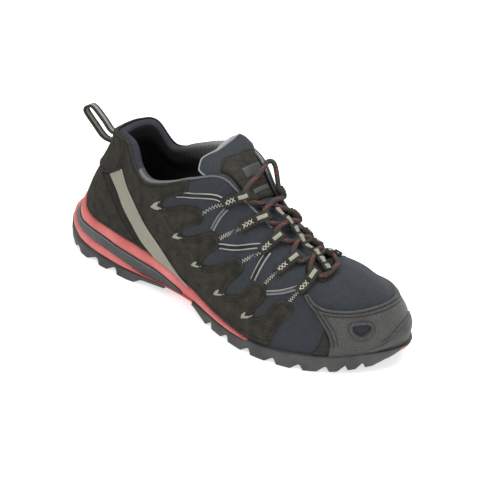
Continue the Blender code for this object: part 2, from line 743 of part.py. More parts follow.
def cord_mesh(shop, name, points):
    """A round cord through some points, as a closed mesh."""
    curve = bpy.data.curves.new(name, "CURVE")
    curve.dimensions = "3D"
    curve.bevel_depth = LACE_RADIUS * MM
    curve.bevel_resolution = 2
    curve.use_fill_caps = True
    spline = curve.splines.new("POLY")
    spline.points.add(len(points) - 1)
    for spot, point in zip(spline.points, points):
        spot.co = (*(np.asarray(point) * MM), 1.0)
    guide = bpy.data.objects.new(name + "_guide", curve)
    shop.parts.objects.link(guide)
    bpy.context.view_layer.update()
    mesh = bpy.data.meshes.new_from_object(guide.evaluated_get(bpy.context.evaluated_depsgraph_get()))
    work = bmesh.new()
    work.from_mesh(mesh)
    bmesh.ops.remove_doubles(work, verts=work.verts, dist=MERGE)
    bmesh.ops.recalc_face_normals(work, faces=work.faces)
    work.to_mesh(mesh)
    work.free()
    bpy.data.objects.remove(guide)
    mesh.name = name
    return mesh


def build_lace(shop):
    """The lace's two zigzag runs and its bottom bar, joined where they cross."""
    outer, inner = lace_points()
    first = [(outer, inner)[k % 2][k] for k in range(len(outer))]
    second = [(inner, outer)[k % 2][k] for k in range(len(outer))]
    bar_middle = (first[-1] + second[-1]) / 2 + np.array(BAR_BOW)
    lace = bpy.data.objects.new("lace", cord_mesh(shop, "lace", first + [bar_middle, second[-1]]))
    lace.data.materials.append(shop.materials["lace_cord"])
    other = bpy.data.objects.new("lace_return", cord_mesh(shop, "lace_return", second))
    for piece, collection in ((lace, shop.parts), (other, shop.cutters)):
        piece.parent = shop.root
        collection.objects.link(piece)
    other.hide_render = True
    other.display_type = "WIRE"
    boolean(lace, other, "UNION")


def build_lace_keeper(shop):
    """Webbing chain down the middle of the throat, over the lace's crossings."""
    outer, inner = lace_points()
    middles = (outer[:-1] + inner[1:] + inner[:-1] + outer[1:]) / 4
    start = middles[0] + KEEPER_LEAD * (middles[0] - middles[1])
    path = np.concatenate([[start], middles])
    path[:, 2] += LACE_RADIUS + KEEPER_RAISE
    along = np.gradient(path, axis=0)
    side = np.array((0.0, KEEPER_WIDTH / 2, 0.0))
    up = np.cross(along, side)
    up *= WEBBING * np.sign(up[:, 2:]) / np.linalg.norm(up, axis=1)[:, None]
    under = np.stack([path - side, path + side], 1)
    shop.add("lace_keeper", *slab(under + up[:, None, :], under), "webbing")


def build_pull_loop(shop):
    """Webbing loop that stands up and back from the heel, sewn down at both feet."""
    lift = SKIN_CLEARANCE + OVERLAY + 2 * GAP
    rear = skin(0.0, np.array(PULL_LOOP_REAR), np.full(2, lift + WEBBING / 2))
    front = skin(0.0, np.array(PULL_LOOP_FRONT), np.full(2, lift + WEBBING / 2))
    free = np.array([(x, 0.0, z) for x, z in PULL_LOOP_FREE])
    path = np.concatenate([rear, free, front])
    along = np.gradient(path, axis=0)
    side = np.array((0.0, PULL_LOOP_WIDTH / 2, 0.0))
    up = np.cross(side, along)
    up *= WEBBING / 2 / np.linalg.norm(up, axis=1)[:, None]
    shop.add("pull_loop", *slab(
        np.stack([path + up - side, path + up + side], 1),
        np.stack([path - up - side, path - up + side], 1)), "webbing")


def main():
    """Build the shoe."""
    clear_scene()
    shop = Shop()
    build_heel(shop)
    build_midsole(shop)
    build_forefoot(shop)
    build_insole(shop)
    build_upper(shop)
    build_tongue(shop)
    build_overlays(shop)
    build_lace_loops(shop)
    build_lace(shop)
    build_lace_keeper(shop)
    build_pull_loop(shop)


main()
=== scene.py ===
"""Looks of a low-cut safety shoe for the right foot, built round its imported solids.

Sizes are in millimetres in the shoe's own frame: the toe points along +X, the inner side
of the foot along +Y and the floor is Z = 0. A spot on the upper is a place round the shoe,
counted in sections from the back of the heel along the outer side, and a share of the
height from the sole to the rim.
"""

from __future__ import annotations

import logging
import math
from dataclasses import dataclass
from enum import Enum
from typing import Callable, Sequence

import bmesh
import bpy
import numpy as np
from mathutils import Matrix, Vector
from mathutils.geometry import delaunay_2d_cdt


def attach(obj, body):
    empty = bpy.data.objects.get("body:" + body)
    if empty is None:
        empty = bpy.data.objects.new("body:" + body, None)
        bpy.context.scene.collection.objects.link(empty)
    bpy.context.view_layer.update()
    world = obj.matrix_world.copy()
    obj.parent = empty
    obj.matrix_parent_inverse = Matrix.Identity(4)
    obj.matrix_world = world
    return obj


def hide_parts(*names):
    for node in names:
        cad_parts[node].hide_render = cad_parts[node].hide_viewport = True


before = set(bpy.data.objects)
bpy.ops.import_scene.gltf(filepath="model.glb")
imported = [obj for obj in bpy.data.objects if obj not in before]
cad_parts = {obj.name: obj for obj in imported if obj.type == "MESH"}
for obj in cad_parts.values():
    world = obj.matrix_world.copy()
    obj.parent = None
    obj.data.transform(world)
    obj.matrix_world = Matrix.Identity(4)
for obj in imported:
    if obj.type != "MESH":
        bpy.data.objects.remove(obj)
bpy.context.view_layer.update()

LOG = logging.getLogger("safety_shoe")
BODY = "root"
MM = 0.001
FOOTPRINT_MIDDLE = np.array((139.85, -2.47, 0.0))
UP = np.array((0.0, 0.0, 1.0))

Array = np.ndarray
Socket = bpy.types.NodeSocket
Colour = tuple[float, float, float]
Spot = tuple[float, float]
Surface = Callable[[Array, Array, Array], Array]
Sockets = tuple[Socket, Socket]

# Rough millimetres to a section round the shoe and to the whole height of a section
FLAT = np.array((22.0, 80.0))

# A row for each section round the shoe: the sole's edge and the height of the feather line,
# then the edge of the collar and throat.
# foot_x, foot_y, foot_z, rim_x, rim_y, rim_z
SECTIONS = np.array((
    (1, 0, 51, 30, 0, 110),
    (6.5, -20, 49, 35, -12, 111),
    (22, -35, 40.5, 54, -20, 110),
    (50, -38, 36.2, 66, -26, 98),
    (80, -38, 33, 80, -29, 91),
    (108, -37.5, 26.8, 102, -31, 98),
    (135, -39.5, 19.8, 127, -28, 109.5),
    (158, -44, 14, 150, -20, 115),
    (180, -49, 12, 169, -15, 100),
    (202, -51.5, 10.6, 188, -13, 88),
    (224, -49, 11, 206, -11, 78),
    (245, -42, 12.4, 220, -8, 71.5),
    (266, -29, 14, 227, -3, 68.5),
    (285, -9, 16, 230, 2, 67.5),
    (296.6, 8.8, 18, 231, 5, 67),
    (294.5, 24.2, 16.5, 229.5, 7.5, 66),
    (283.4, 36.7, 14.3, 225, 9, 65),
    (263, 44, 12.5, 216, 10.5, 66),
    (238, 46.5, 11.1, 203, 12.5, 71),
    (213, 45.5, 10.7, 187, 16, 80.5),
    (188, 41.5, 12.1, 168, 19.5, 94.5),
    (162, 35.5, 14, 150, 24, 113.5),
    (138, 31.5, 19.8, 127, 31, 115.5),
    (110, 31, 26.8, 103, 33, 110),
    (80, 35, 33, 80, 32, 100.5),
    (50, 38, 36.2, 58, 29, 92),
    (22, 35, 40.5, 45, 21, 111.5),
    (6.5, 20, 49, 35, 12, 112.5),
), float)
COUNT = len(SECTIONS)
TOE = COUNT // 2

# How full the last is between feather line and rim.
# section, bulge, rise, reach, drop
FULLNESS = np.array((
    (0, -6, 22, 5, 24),
    (1, -5.5, 22, 5, 24),
    (2, -1, 21, 3, 24),
    (4, 1, 20, 4, 24),
    (7, 0, 30, 16, 18),
    (10, 0, 34, 26, 9),
    (12, 1, 38, 32, 3),
    (14, 2, 38, 33, 0),
    (16, 1, 33, 26, 0),
    (18, 0, 22, 15, 9),
    (21, 0, 26, 12, 20),
    (24, 1, 20, 4, 24),
    (26, -1, 21, 3, 24),
    (27, -5.5, 22, 5, 24),
    (28, -6, 22, 5, 24),
), float)

# How far the heel of the sole stands out behind the upper at each height
# height, kick
HEEL_KICK = np.array(((0, 17.5), (9, 20), (21.5, 18.5), (29.5, 15), (35, 9.5), (42.5, 4), (50, 0)), float)


def unit(vectors: Array) -> Array:
    """Vectors of length one."""
    return vectors / np.linalg.norm(vectors, axis=-1, keepdims=True)


def lengths_along(path: Array) -> Array:
    """Distance from the start of a path to each of its points."""
    return np.concatenate([[0.0], np.cumsum(np.linalg.norm(np.diff(path, axis=0), axis=1))])


def matched(*values: Array | float) -> list[Array]:
    """Values as arrays of one shape."""
    return np.broadcast_arrays(*(np.asarray(value, float) for value in values))


def eased(share: Array) -> Array:
    """A share from 0 to 1 that starts and ends gently."""
    return share * share * (3 - 2 * share)


def rung_of(place: Array) -> Array:
    """Rung of a place: sections from the back of the heel, on either side."""
    return np.minimum(place, COUNT - place)


def looked_up(table: Sequence[Sequence[float]], at: Array, column: int = 1) -> Array:
    """Read a column of a table.

    Args:
        table: rows in the order of their first column.
        at: values of the first column.
        column: number of the column wanted.

    Returns:
        A value for each of those, straight between rows.
    """
    rows = np.asarray(table, float)
    return np.interp(at, rows[:, 0], rows[:, column])


def read_along(rows: Array, length: Array, at: Array | float) -> Array:
    """Read rows that stand along a path.

    Args:
        rows: a row for each point of the path.
        length: distance of each point from the path's start.
        at: distances to read at.

    Returns:
        The rows there, straight between points.
    """
    return np.stack([np.interp(at, length, column) for column in rows.T], -1)


def between(four: Sequence[Array], share: Array) -> Array:
    """A smooth curve from the second to the third of four points in a row.

    Args:
        four: the points, or an array of points for each.
        share: how far along the curve.

    Returns:
        Points of the curve.
    """
    before, here, after, beyond = four
    return 0.5 * (
        2 * here
        + (after - before) * share
        + (2 * before - 5 * here + 4 * after - beyond) * share**2
        + (3 * here - before - 3 * after + beyond) * share**3
    )


FULLNESS_ROWS = np.stack([looked_up(FULLNESS, np.arange(COUNT), k) for k in range(1, 5)], 1)


@dataclass(frozen=True)
class Last:
    """Form that the upper is pulled over, and the edge of the sole under it."""

    inset: float = 1.6
    kick_length: float = 45.0
    little: float = 0.01
    level_step: float = 1 / 3

    def around(self, rows: Array, place: Array) -> Array:
        """Read rows of a table at any place between them, by a smooth closed curve.

        Args:
            rows: one row, or one number, for each section.
            place: places round the shoe.

        Returns:
            The rows at those places.
        """
        place = np.asarray(place, float) % COUNT
        index = np.floor(place).astype(int)
        share = place - index
        if rows.ndim > 1:
            share = share[..., None]
        return between([rows[(index + k) % COUNT] for k in range(-1, 3)], share)

    def outward(self, place: Array) -> Array:
        """Level direction that points away from the shoe at places round it."""
        place = np.asarray(place, float)
        edge = SECTIONS[:, :2]
        along = self.around(edge, place + self.level_step) - self.around(edge, place - self.level_step)
        return unit(np.stack([along[..., 1], -along[..., 0], 0 * along[..., 0]], -1))

    def point(self, place: Array, share: Array) -> Array:
        """Outer face of the upper.

        Args:
            place: places round the shoe.
            share: shares of the way from sole to rim.

        Returns:
            Points of the face.
        """
        place, share = matched(place, share)
        row = self.around(SECTIONS, place)
        bulge, rise, reach, drop = np.moveaxis(self.around(FULLNESS_ROWS, place), -1, 0)[..., None]
        out = self.outward(place)
        foot = row[..., :3] - self.inset * out
        rim = row[..., 3:]
        belly = foot + bulge * out + rise * UP
        shoulder = rim + reach * out - drop * UP
        t = share[..., None]
        s = 1 - t
        return s**3 * foot + 3 * t * s**2 * belly + 3 * t**2 * s * shoulder + t**3 * rim

    def rise(self, place: Array, share: Array) -> Array:
        """Direction and speed of the face towards the rim."""
        high = np.minimum(share + self.little, 1.0)
        low = np.maximum(share - self.little, 0.0)
        return (self.point(place, high) - self.point(place, low)) / (high - low)[..., None]

    def normal(self, place: Array, share: Array) -> Array:
        """Direction away from the face."""
        along = self.point(place + self.little, share) - self.point(place - self.little, share)
        return unit(np.cross(along, self.rise(place, share)))

    def skin(self, place: Array, share: Array, lift: Array) -> Array:
        """Points at a height above the outer face.

        Args:
            place: places round the shoe.
            share: shares of the way from sole to rim.
            lift: heights above the face.

        Returns:
            The raised points.
        """
        place, share, lift = matched(place, share, lift)
        return self.point(place, share) + lift[..., None] * self.normal(place, share)

    def sole_edge(self, place: Array, flare: Array, height: Array) -> Array:
        """Points on the side of the sole.

        Args:
            place: places round the shoe.
            flare: how far the points stand out from the sole's edge.
            height: heights over the floor.

        Returns:
            The points, swept back at the heel.
        """
        place, flare, height = matched(place, flare, height)
        point = self.around(SECTIONS[:, :2], place) + flare[..., None] * self.outward(place)[..., :2]
        fade = eased(np.clip(1 - point[..., 0] / self.kick_length, 0, 1))
        return np.stack([point[..., 0] - looked_up(HEEL_KICK, height) * fade, point[..., 1], height], -1)

    def feather(self, rung: Array) -> Array:
        """Height of the feather line at rungs from heel to toe."""
        return self.around(SECTIONS[:, 2], rung)


LAST = Last()


class Side(Enum):
    """The two sides of the shoe; the inner one mirrors the outer one's places."""

    OUTER = "outer"
    INNER = "inner"

    def place(self, place: Array) -> Array:
        """The same place on this side."""
        return place if self is Side.OUTER else COUNT - place

    def skin(self, place: Array, share: Array, lift: Array) -> Array:
        """Points over the upper on this side."""
        return LAST.skin(self.place(place), share, lift)


# Effects that materials share

class Effect(Enum):
    """Surface effects, each named for what wires its node group."""

    NAP = "nap"
    WEAVE = "weave"
    GRAIN = "grain"
    MOULDED = "moulded"
    RIBBED = "ribbed"
    BRAID = "braid"
    PERFORATED = "perforated"
    # Painted light and shade on the lining: paler near the rim and the front, near black further in.
    PAINTED_LIGHT_LINING = "painted_light_lining"


class Board:
    """A node tree being wired."""

    def __init__(self, tree: bpy.types.NodeTree) -> None:
        """Keep the tree."""
        self.tree = tree

    def add(self, kind: str, inputs: dict | None = None, **settings: object) -> bpy.types.Node:
        """Add a node.

        Args:
            kind: the node's type.
            inputs: a value or a socket for each named or numbered input.
            settings: the node's own settings.

        Returns:
            The node.
        """
        node = self.tree.nodes.new(kind)
        for key, value in settings.items():
            setattr(node, key, value)
        for key, value in (inputs or {}).items():
            if isinstance(value, Socket):
                self.tree.links.new(value, node.inputs[key])
            else:
                node.inputs[key].default_value = value
        return node

    def math(self, operation: str, *values: object) -> Socket:
        """Result of a sum on values or sockets."""
        return self.add("ShaderNodeMath", dict(enumerate(values)), operation=operation).outputs[0]

    def mix(self, factor: object, first: object, second: object) -> Socket:
        """Blend of two colours."""
        return self.add("ShaderNodeMix", {0: factor, 6: first, 7: second}, data_type="RGBA").outputs[2]

    def average(self, first: object, second: object, weight: float) -> Socket:
        """Mean of two values, with a weight for the first."""
        return self.math("MULTIPLY_ADD", first, weight, self.math("MULTIPLY", second, 1 - weight))

    def spread(self, value: object, low: float, high: float) -> Socket:
        """A value from 0 to 1 stretched between two others."""
        return self.add("ShaderNodeMapRange", {0: value, 3: low, 4: high}).outputs[0]

    def ramp(self, value: object, start: float, end: float) -> Socket:
        """0 up to a start, 1 from an end on, and straight between them."""
        return self.add("ShaderNodeMapRange", {0: value, 1: start, 2: end}).outputs[0]

    def place(self, kind: str) -> Socket:
        """Where a spot of the surface is, in the Object or by its UV."""
        return self.add("ShaderNodeTexCoord").outputs[kind]

    def axes(self, kind: str) -> list[Socket]:
        """The three parts of where a spot of the surface is."""
        return list(self.add("ShaderNodeSeparateXYZ", {0: self.place(kind)}).outputs)


class EffectBoard(Board):
    """An effect's node group being wired: each effect's method gives its Height and Mask."""

    def __init__(self, tree: bpy.types.NodeTree) -> None:
        """Start from the group's Size, in millimetres."""
        super().__init__(tree)
        self.size = self.add("NodeGroupInput").outputs["Size"]

    def noise(self, times: float = 1.0, detail: float = 3.0) -> Socket:
        """Noise with lumps of some times the size."""
        scale = self.math("DIVIDE", 1 / MM, self.math("MULTIPLY", self.size, times))
        inputs = {"Vector": self.place("Object"), "Scale": scale, "Detail": detail}
        return self.add("ShaderNodeTexNoise", inputs).outputs[0]

    def threads(self) -> Sockets:
        """Angles along and across the texture, half a turn to a thread."""
        parts = self.axes("UV")[:2]
        return tuple(self.math("DIVIDE", self.math("MULTIPLY", part, math.pi), self.size) for part in parts)

    def nap(self) -> Sockets:
        """Brushed nap: fine fibre over broad mottling."""
        broad, fine = self.noise(9.0), self.noise(detail=5.0)
        return fine, self.spread(self.average(broad, fine, 0.55), -0.6, 1.6)

    def weave(self) -> Sockets:
        """Plain weave: bumps in a checker, with slubs."""
        along, across = self.threads()
        checker = self.math("MULTIPLY", self.math("SINE", along), self.math("SINE", across))
        height = self.math("MULTIPLY_ADD", checker, 0.5, 0.5)
        return height, self.average(height, self.noise(4.0), 0.4)

    def grain(self) -> Sockets:
        """Pebbled grain: rounded cells with creases between them."""
        inputs = {"Vector": self.place("Object"), "Scale": self.math("DIVIDE", 1 / MM, self.size)}
        cells = self.add("ShaderNodeTexVoronoi", inputs, feature="DISTANCE_TO_EDGE")
        height = self.math("POWER", self.math("MULTIPLY", cells.outputs["Distance"], 2.0), 0.5)
        return height, self.average(height, self.noise(12.0), 0.5)

    def moulded(self) -> Sockets:
        """Moulded skin: fine pitting and a slow change of tone."""
        return self.noise(), self.spread(self.noise(25.0), -0.5, 1.5)

    def ribbed(self) -> Sockets:
        """Woven tape: ribs across it and cords along it."""
        along, across = self.threads()
        ribs = self.math("ABSOLUTE", self.math("SINE", along))
        cords = self.math("ABSOLUTE", self.math("SINE", self.math("MULTIPLY", across, 0.6)))
        height = self.math("MULTIPLY", ribs, cords)
        return height, self.average(height, self.noise(3.0), 0.5)

    def braid(self) -> Sockets:
        """Braided cord: strands that cross each other, with a dashed fleck wound round it."""
        along, around = self.threads()
        left = self.math("SINE", self.math("ADD", along, around))
        right = self.math("SINE", self.math("SUBTRACT", along, around))
        height = self.math("MULTIPLY_ADD", self.math("MULTIPLY", left, right), 0.5, 0.5)
        spiral = self.math("MULTIPLY_ADD", along, 0.021, self.math("MULTIPLY", around, 0.053))
        wound = self.math("LESS_THAN", self.math("FRACT", spiral), 0.11)
        dashed = self.math("LESS_THAN", self.math("FRACT", self.math("MULTIPLY", along, 0.13)), 0.5)
        return height, self.math("MULTIPLY", wound, dashed)

    def perforated(self, hole: Spot = (0.18, 0.34)) -> Sockets:
        """Air mesh: a close field of small holes.

        Args:
            hole: radius of a hole's floor and of its rim, as shares of the size.

        Returns:
            0 in a hole and 1 between holes, as Height and as Mask.
        """
        shift = []
        for part in self.axes("UV")[:2]:
            turn = self.math("FRACT", self.math("DIVIDE", part, self.size))
            shift.append(self.math("POWER", self.math("SUBTRACT", turn, 0.5), 2.0))
        solid = self.ramp(self.math("SQRT", self.math("ADD", *shift)), *hole)
        return solid, solid

    def painted_light_lining(self) -> Sockets:
        """Air mesh that is paler towards the top and the front as painted light on the lit inner faces, and
        near black lower down and at the back as painted shade.
        """
        height, mask = self.perforated((0.06, 0.15))
        forward, _, raised = self.axes("Object")
        # Painted light: the mask, and so the pale colour, grows towards the rim and the front; lower down and
        # at the back the lining stays in painted shade.
        fade = self.math("MULTIPLY", self.ramp(raised, 0.086, 0.112), self.ramp(forward, -0.085, -0.065))
        return height, self.math("MULTIPLY", mask, self.math("MULTIPLY_ADD", fade, 0.95, 0.05))


class EffectLibrary:
    """Makes each effect's node group once."""

    def __init__(self) -> None:
        """Start with no groups."""
        self.groups: dict[Effect, bpy.types.NodeTree] = {}

    def group(self, effect: Effect) -> bpy.types.NodeTree:
        """The node group of an effect.

        Args:
            effect: the effect wanted.

        Returns:
            A group with a Size input and Height and Mask outputs.
        """
        if effect not in self.groups:
            tree = bpy.data.node_groups.new(effect.value, "ShaderNodeTree")
            tree.interface.new_socket("Size", in_out="INPUT", socket_type="NodeSocketFloat")
            for name in ("Height", "Mask"):
                tree.interface.new_socket(name, in_out="OUTPUT", socket_type="NodeSocketFloat")
            board = EffectBoard(tree)
            height, mask = getattr(board, effect.value)()
            board.add("NodeGroupOutput", {"Height": height, "Mask": mask})
            self.groups[effect] = tree
        return self.groups[effect]


# Finishes

ROUGHNESS_SWING = 0.06
SHEEN_ROUGHNESS = 0.5


@dataclass(frozen=True)
class Finish:
    """One finish of the shoe: two tones, a gloss and a surface effect.

    Attributes:
        name: the material's name.
        slot: the record's slot that it belongs to; not used.
        tone: colour where the effect's mask is low.
        light: colour where the mask is high.
        roughness: roughness between the two.
        effect: what its surface is made of.
        size: millimetres to a thread, a lump or a cell of the effect.
        depth: millimetres that the effect stands proud.
        sheen: soft light at grazing angles.
        specular: strength of its plain reflection.
    """

    name: str
    slot: str
    tone: Colour
    light: Colour
    roughness: float
    effect: Effect
    size: float
    depth: float
    sheen: float = 0.0
    specular: float = 0.2

    def material(self, library: EffectLibrary) -> bpy.types.Material:
        """Build the material.

        Args:
            library: where the effects' node groups are.

        Returns:
            The finished material.
        """
        material = bpy.data.materials.new(self.name)
        material.use_nodes = True
        board = Board(material.node_tree)
        shader = material.node_tree.nodes["Principled BSDF"]
        effect = board.add("ShaderNodeGroup", node_tree=library.group(self.effect))
        effect.inputs["Size"].default_value = self.size
        mask = effect.outputs["Mask"]
        colour = board.mix(mask, (*self.tone, 1.0), (*self.light, 1.0))
        rough = board.spread(mask, self.roughness + ROUGHNESS_SWING, self.roughness - ROUGHNESS_SWING)
        bump = board.add("ShaderNodeBump", {
            "Height": effect.outputs["Height"], "Distance": self.depth * MM, "Strength": 1.0})
        for socket, value in {"Base Color": colour, "Roughness": rough, "Normal": bump.outputs[0]}.items():
            material.node_tree.links.new(value, shader.inputs[socket])
        shader.inputs["Sheen Weight"].default_value = self.sheen
        shader.inputs["Sheen Roughness"].default_value = SHEEN_ROUGHNESS
        shader.inputs["Specular IOR Level"].default_value = self.specular
        material.diffuse_color = (*self.tone, 1.0)
        return material


SUEDE = Finish("suede", "dark_suede", (0.0148, 0.014, 0.0112), (0.0458, 0.0429, 0.035), 0.95,
               Effect.NAP, 0.7, 0.25, sheen=0.02, specular=0.06)
TEXTILE = Finish("navy_textile", "navy_textile", (0.017, 0.019, 0.0225), (0.041, 0.0455, 0.053), 0.85,
                 Effect.WEAVE, 0.6, 0.1, sheen=0.08, specular=0.1)
# The lining's pale colour is painted light near the rim and the front; its dark one also serves as painted
# shade further in.
LINING = Finish("lining", "padded_textile", (0.012, 0.012, 0.013), (0.21, 0.21, 0.218), 0.9,
                Effect.PAINTED_LIGHT_LINING, 3.8, 0.15, specular=0.05)
EDGE_MESH = Finish("edge_mesh", "padded_textile", (0.084, 0.084, 0.0865), (0.168, 0.168, 0.172), 0.85,
                   Effect.WEAVE, 0.8, 0.15, specular=0.1)
TONGUE_EDGE = Finish("tongue_edge", "padded_textile", (0.16, 0.16, 0.164), (0.32, 0.32, 0.328), 0.85,
                     Effect.WEAVE, 0.8, 0.15, specular=0.1)
HEEL_EDGE = Finish("heel_edge", "padded_textile", (0.017, 0.019, 0.023), (0.043, 0.047, 0.056), 0.85,
                   Effect.WEAVE, 0.8, 0.15, specular=0.1)
CAP = Finish("grained_cap", "grained_cap", (0.03, 0.03, 0.0287), (0.09, 0.09, 0.0872), 0.5,
             Effect.GRAIN, 1.6, 0.6, specular=0.35)
RUBBER = Finish("sole_rubber", "dark_rubber", (0.0355, 0.0355, 0.0348), (0.0645, 0.0645, 0.0632), 0.6,
                Effect.MOULDED, 0.7, 0.05, specular=0.3)
BAND = Finish("band", "grey_band", (0.032, 0.0327, 0.0327), (0.06, 0.0614, 0.0607), 0.5,
              Effect.MOULDED, 0.7, 0.05, specular=0.3)
RED = Finish("red_foam", "red_foam", (0.44, 0.085, 0.078), (0.57, 0.17, 0.158), 0.55,
             Effect.MOULDED, 0.8, 0.05, specular=0.3)
STRIP = Finish("reflective_tape", "reflective_strip", (0.1806, 0.1763, 0.1333), (0.2666, 0.258, 0.2064), 0.5,
               Effect.RIBBED, 1.0, 0.05, specular=0.3)
PIPING = Finish("piping", "reflective_strip", (0.21, 0.21, 0.19), (0.32, 0.32, 0.295), 0.5,
                Effect.MOULDED, 0.6, 0.05)
# Satin film of the welded struts; on the stabiliser's ridge the same finish is a painted highlight.
FILM_AND_HIGHLIGHT = Finish("satin_film_and_ridge_highlight", "navy_textile", (0.07, 0.07, 0.074), (0.16, 0.16, 0.167), 0.4,
              Effect.MOULDED, 0.6, 0.04, specular=0.35)
CHANNEL = Finish("channel", "navy_textile", (0.006, 0.006, 0.007), (0.018, 0.018, 0.02), 0.5,
                 Effect.MOULDED, 0.6, 0.04)
GUTTER = Finish("gutter", "dark_suede", (0.01, 0.01, 0.009), (0.028, 0.027, 0.024), 0.8,
                Effect.NAP, 0.7, 0.1, specular=0.1)
WEBBING = Finish("webbing", "webbing", (0.0172, 0.0163, 0.0138), (0.0516, 0.049, 0.0413), 0.85,
                 Effect.RIBBED, 0.7, 0.18, specular=0.1)
BEIGE = Finish("beige_tape", "webbing", (0.2, 0.2, 0.155), (0.33, 0.33, 0.27), 0.75,
               Effect.RIBBED, 0.7, 0.1)
GREY_TAPE = Finish("grey_tape", "webbing", (0.14, 0.14, 0.118), (0.27, 0.27, 0.232), 0.75,
                   Effect.RIBBED, 0.7, 0.1)
THREAD = Finish("beige_thread", "webbing", (0.344, 0.3354, 0.2752), (0.5332, 0.516, 0.4386), 0.7,
                Effect.RIBBED, 0.5, 0.06)
DARK_THREAD = Finish("dark_thread", "dark_suede", (0.008, 0.008, 0.007), (0.025, 0.025, 0.022), 0.7,
                     Effect.RIBBED, 0.6, 0.08, specular=0.1)
LACE = Finish("lace_cord", "lace_cord", (0.043, 0.0413, 0.037), (0.473, 0.0172, 0.0172), 0.8,
              Effect.BRAID, 1.1, 0.25, specular=0.1)
BED = Finish("foot_bed", "foot_bed", (0.006, 0.006, 0.007), (0.03, 0.031, 0.034), 0.9,
             Effect.PERFORATED, 4.0, 0.4, specular=0.05)


# Meshes

@dataclass
class Shape:
    """A mesh being made.

    Attributes:
        points: a row of millimetres for each corner.
        faces: corner numbers of each face.
        spots: texture millimetres of each corner of each face, in order.
        marks: number of each face's finish.
    """

    points: Array
    faces: list[tuple[int, ...]]
    spots: Array
    marks: Array

    @staticmethod
    def joined(shapes: Sequence["Shape"]) -> "Shape":
        """One shape of several.

        Args:
            shapes: the shapes to join.

        Returns:
            All their points and faces.
        """
        faces: list[tuple[int, ...]] = []
        start = 0
        for shape in shapes:
            faces += [tuple(start + k for k in face) for face in shape.faces]
            start += len(shape.points)
        return Shape(
            np.concatenate([shape.points for shape in shapes]), faces,
            np.concatenate([shape.spots for shape in shapes]),
            np.concatenate([shape.marks for shape in shapes]))

    def marked(self, mark: int) -> "Shape":
        """The same shape, all in one finish."""
        return Shape(self.points, self.faces, self.spots, np.full(len(self.faces), mark))


def grid(points: Array, along: Array, across: Array,
         wrap_rows: bool = False, wrap_columns: bool = False) -> Shape:
    """Quads over rows and columns of points.

    Args:
        points: rows by columns of points.
        along: texture place of each row, with one more where the rows close.
        across: texture place of each column, with one more where the columns close.
        wrap_rows: whether the last row meets the first.
        wrap_columns: whether the last column meets the first.

    Returns:
        The shape.
    """
    rows, columns = points.shape[:2]
    row, column = np.meshgrid(
        np.arange(rows if wrap_rows else rows - 1),
        np.arange(columns if wrap_columns else columns - 1), indexing="ij")
    corners = ((0, 0), (1, 0), (1, 1), (0, 1))
    faces = np.stack([(row + i) % rows * columns + (column + j) % columns for i, j in corners], -1)
    spots = np.stack([
        np.stack([along[row + i], across[column + j]], -1) for i, j in corners], 2)
    faces = [tuple(face) for face in faces.reshape(-1, 4).tolist()]
    return Shape(points.reshape(-1, 3), faces, spots.reshape(-1, 2), np.zeros(len(faces), int))


def tube(rings: Array, along: Array, across: Array | None = None,
         ends: Sequence[int] = (0, -1)) -> Shape:
    """Rings joined up one after the other.

    Args:
        rings: a row of points for each ring.
        along: texture place of each ring.
        across: texture place of each point of a ring, with one more where it closes, or their numbers.
        ends: numbers of the rings that are filled.

    Returns:
        The shape, closed at those ends.
    """
    rows, columns = rings.shape[:2]
    if across is None:
        across = np.arange(columns + 1.0)
    shape = grid(rings, along, across, wrap_columns=True)
    for end in ends:
        first = end % rows * columns
        shape.faces.append(tuple(range(first, first + columns)))
    shape.spots = np.concatenate([shape.spots, np.zeros((len(ends) * columns, 2))])
    shape.marks = np.append(shape.marks, np.zeros(len(ends), int))
    return shape


def sweep(path: Array, across: Array, up: Array, profile: Array,
          marks: Sequence[int] | None = None, swell: Array | None = None) -> Shape:
    """A band or cord: a closed profile carried along a path.

    Args:
        path: points that the profile follows.
        across: unit direction of the profile's first axis at each point.
        up: unit direction of its second axis.
        profile: points of the profile.
        marks: finish of each side of the profile.
        swell: size of the profile at each point, 1 where it is left out.

    Returns:
        The closed shape.
    """
    sized = profile[None] * (np.ones(len(path)) if swell is None else swell)[:, None, None]
    points = path[:, None] + sized[..., :1] * across[:, None] + sized[..., 1:] * up[:, None]
    girth = lengths_along(np.concatenate([profile, profile[:1]]))
    shape = tube(points, lengths_along(path), girth)
    if marks is not None:
        shape.marks[:-2] = np.tile(np.asarray(marks), len(path) - 1)
    return shape


def oval(width: float, height: float, count: int = 10) -> Array:
    """Profile of a round or flattened cord."""
    turn = np.linspace(0, 2 * math.pi, count, endpoint=False)
    return np.stack([width / 2 * np.cos(turn), height / 2 * np.sin(turn)], 1)


def tape(width: float, thickness: float) -> Array:
    """Profile of flat webbing with softened edges, from its under face up."""
    half, soft = width / 2, thickness / 3
    return np.array((
        (-half + soft, 0), (half - soft, 0), (half, soft), (half, thickness - soft),
        (half - soft, thickness), (-half + soft, thickness), (-half, thickness - soft), (-half, soft)))


def through(points: Array | Sequence, steps: int, closed: bool = False) -> Array:
    """A smooth curve through points.

    Args:
        points: points to pass; where the same one comes twice the curve has a corner.
        steps: points to make between each pair.
        closed: whether the curve comes home to its start.

    Returns:
        Points of the curve.
    """
    points = np.asarray(points, float)
    if not closed:
        points = np.concatenate([2 * points[:1] - points[1:2], points, 2 * points[-1:] - points[-2:-1]])
    count = len(points)
    spans = range(count) if closed else range(1, count - 2)
    t = np.linspace(0, 1, steps, endpoint=False).reshape(-1, *([1] * (points.ndim - 1)))
    made = []
    for k in spans:
        four = [points[(k + n) % count] for n in range(-1, 3)]
        if not np.allclose(four[1], four[2]):
            made.append(between(four, t))
    if not closed:
        made.append(points[-2:-1])
    return np.concatenate(made)


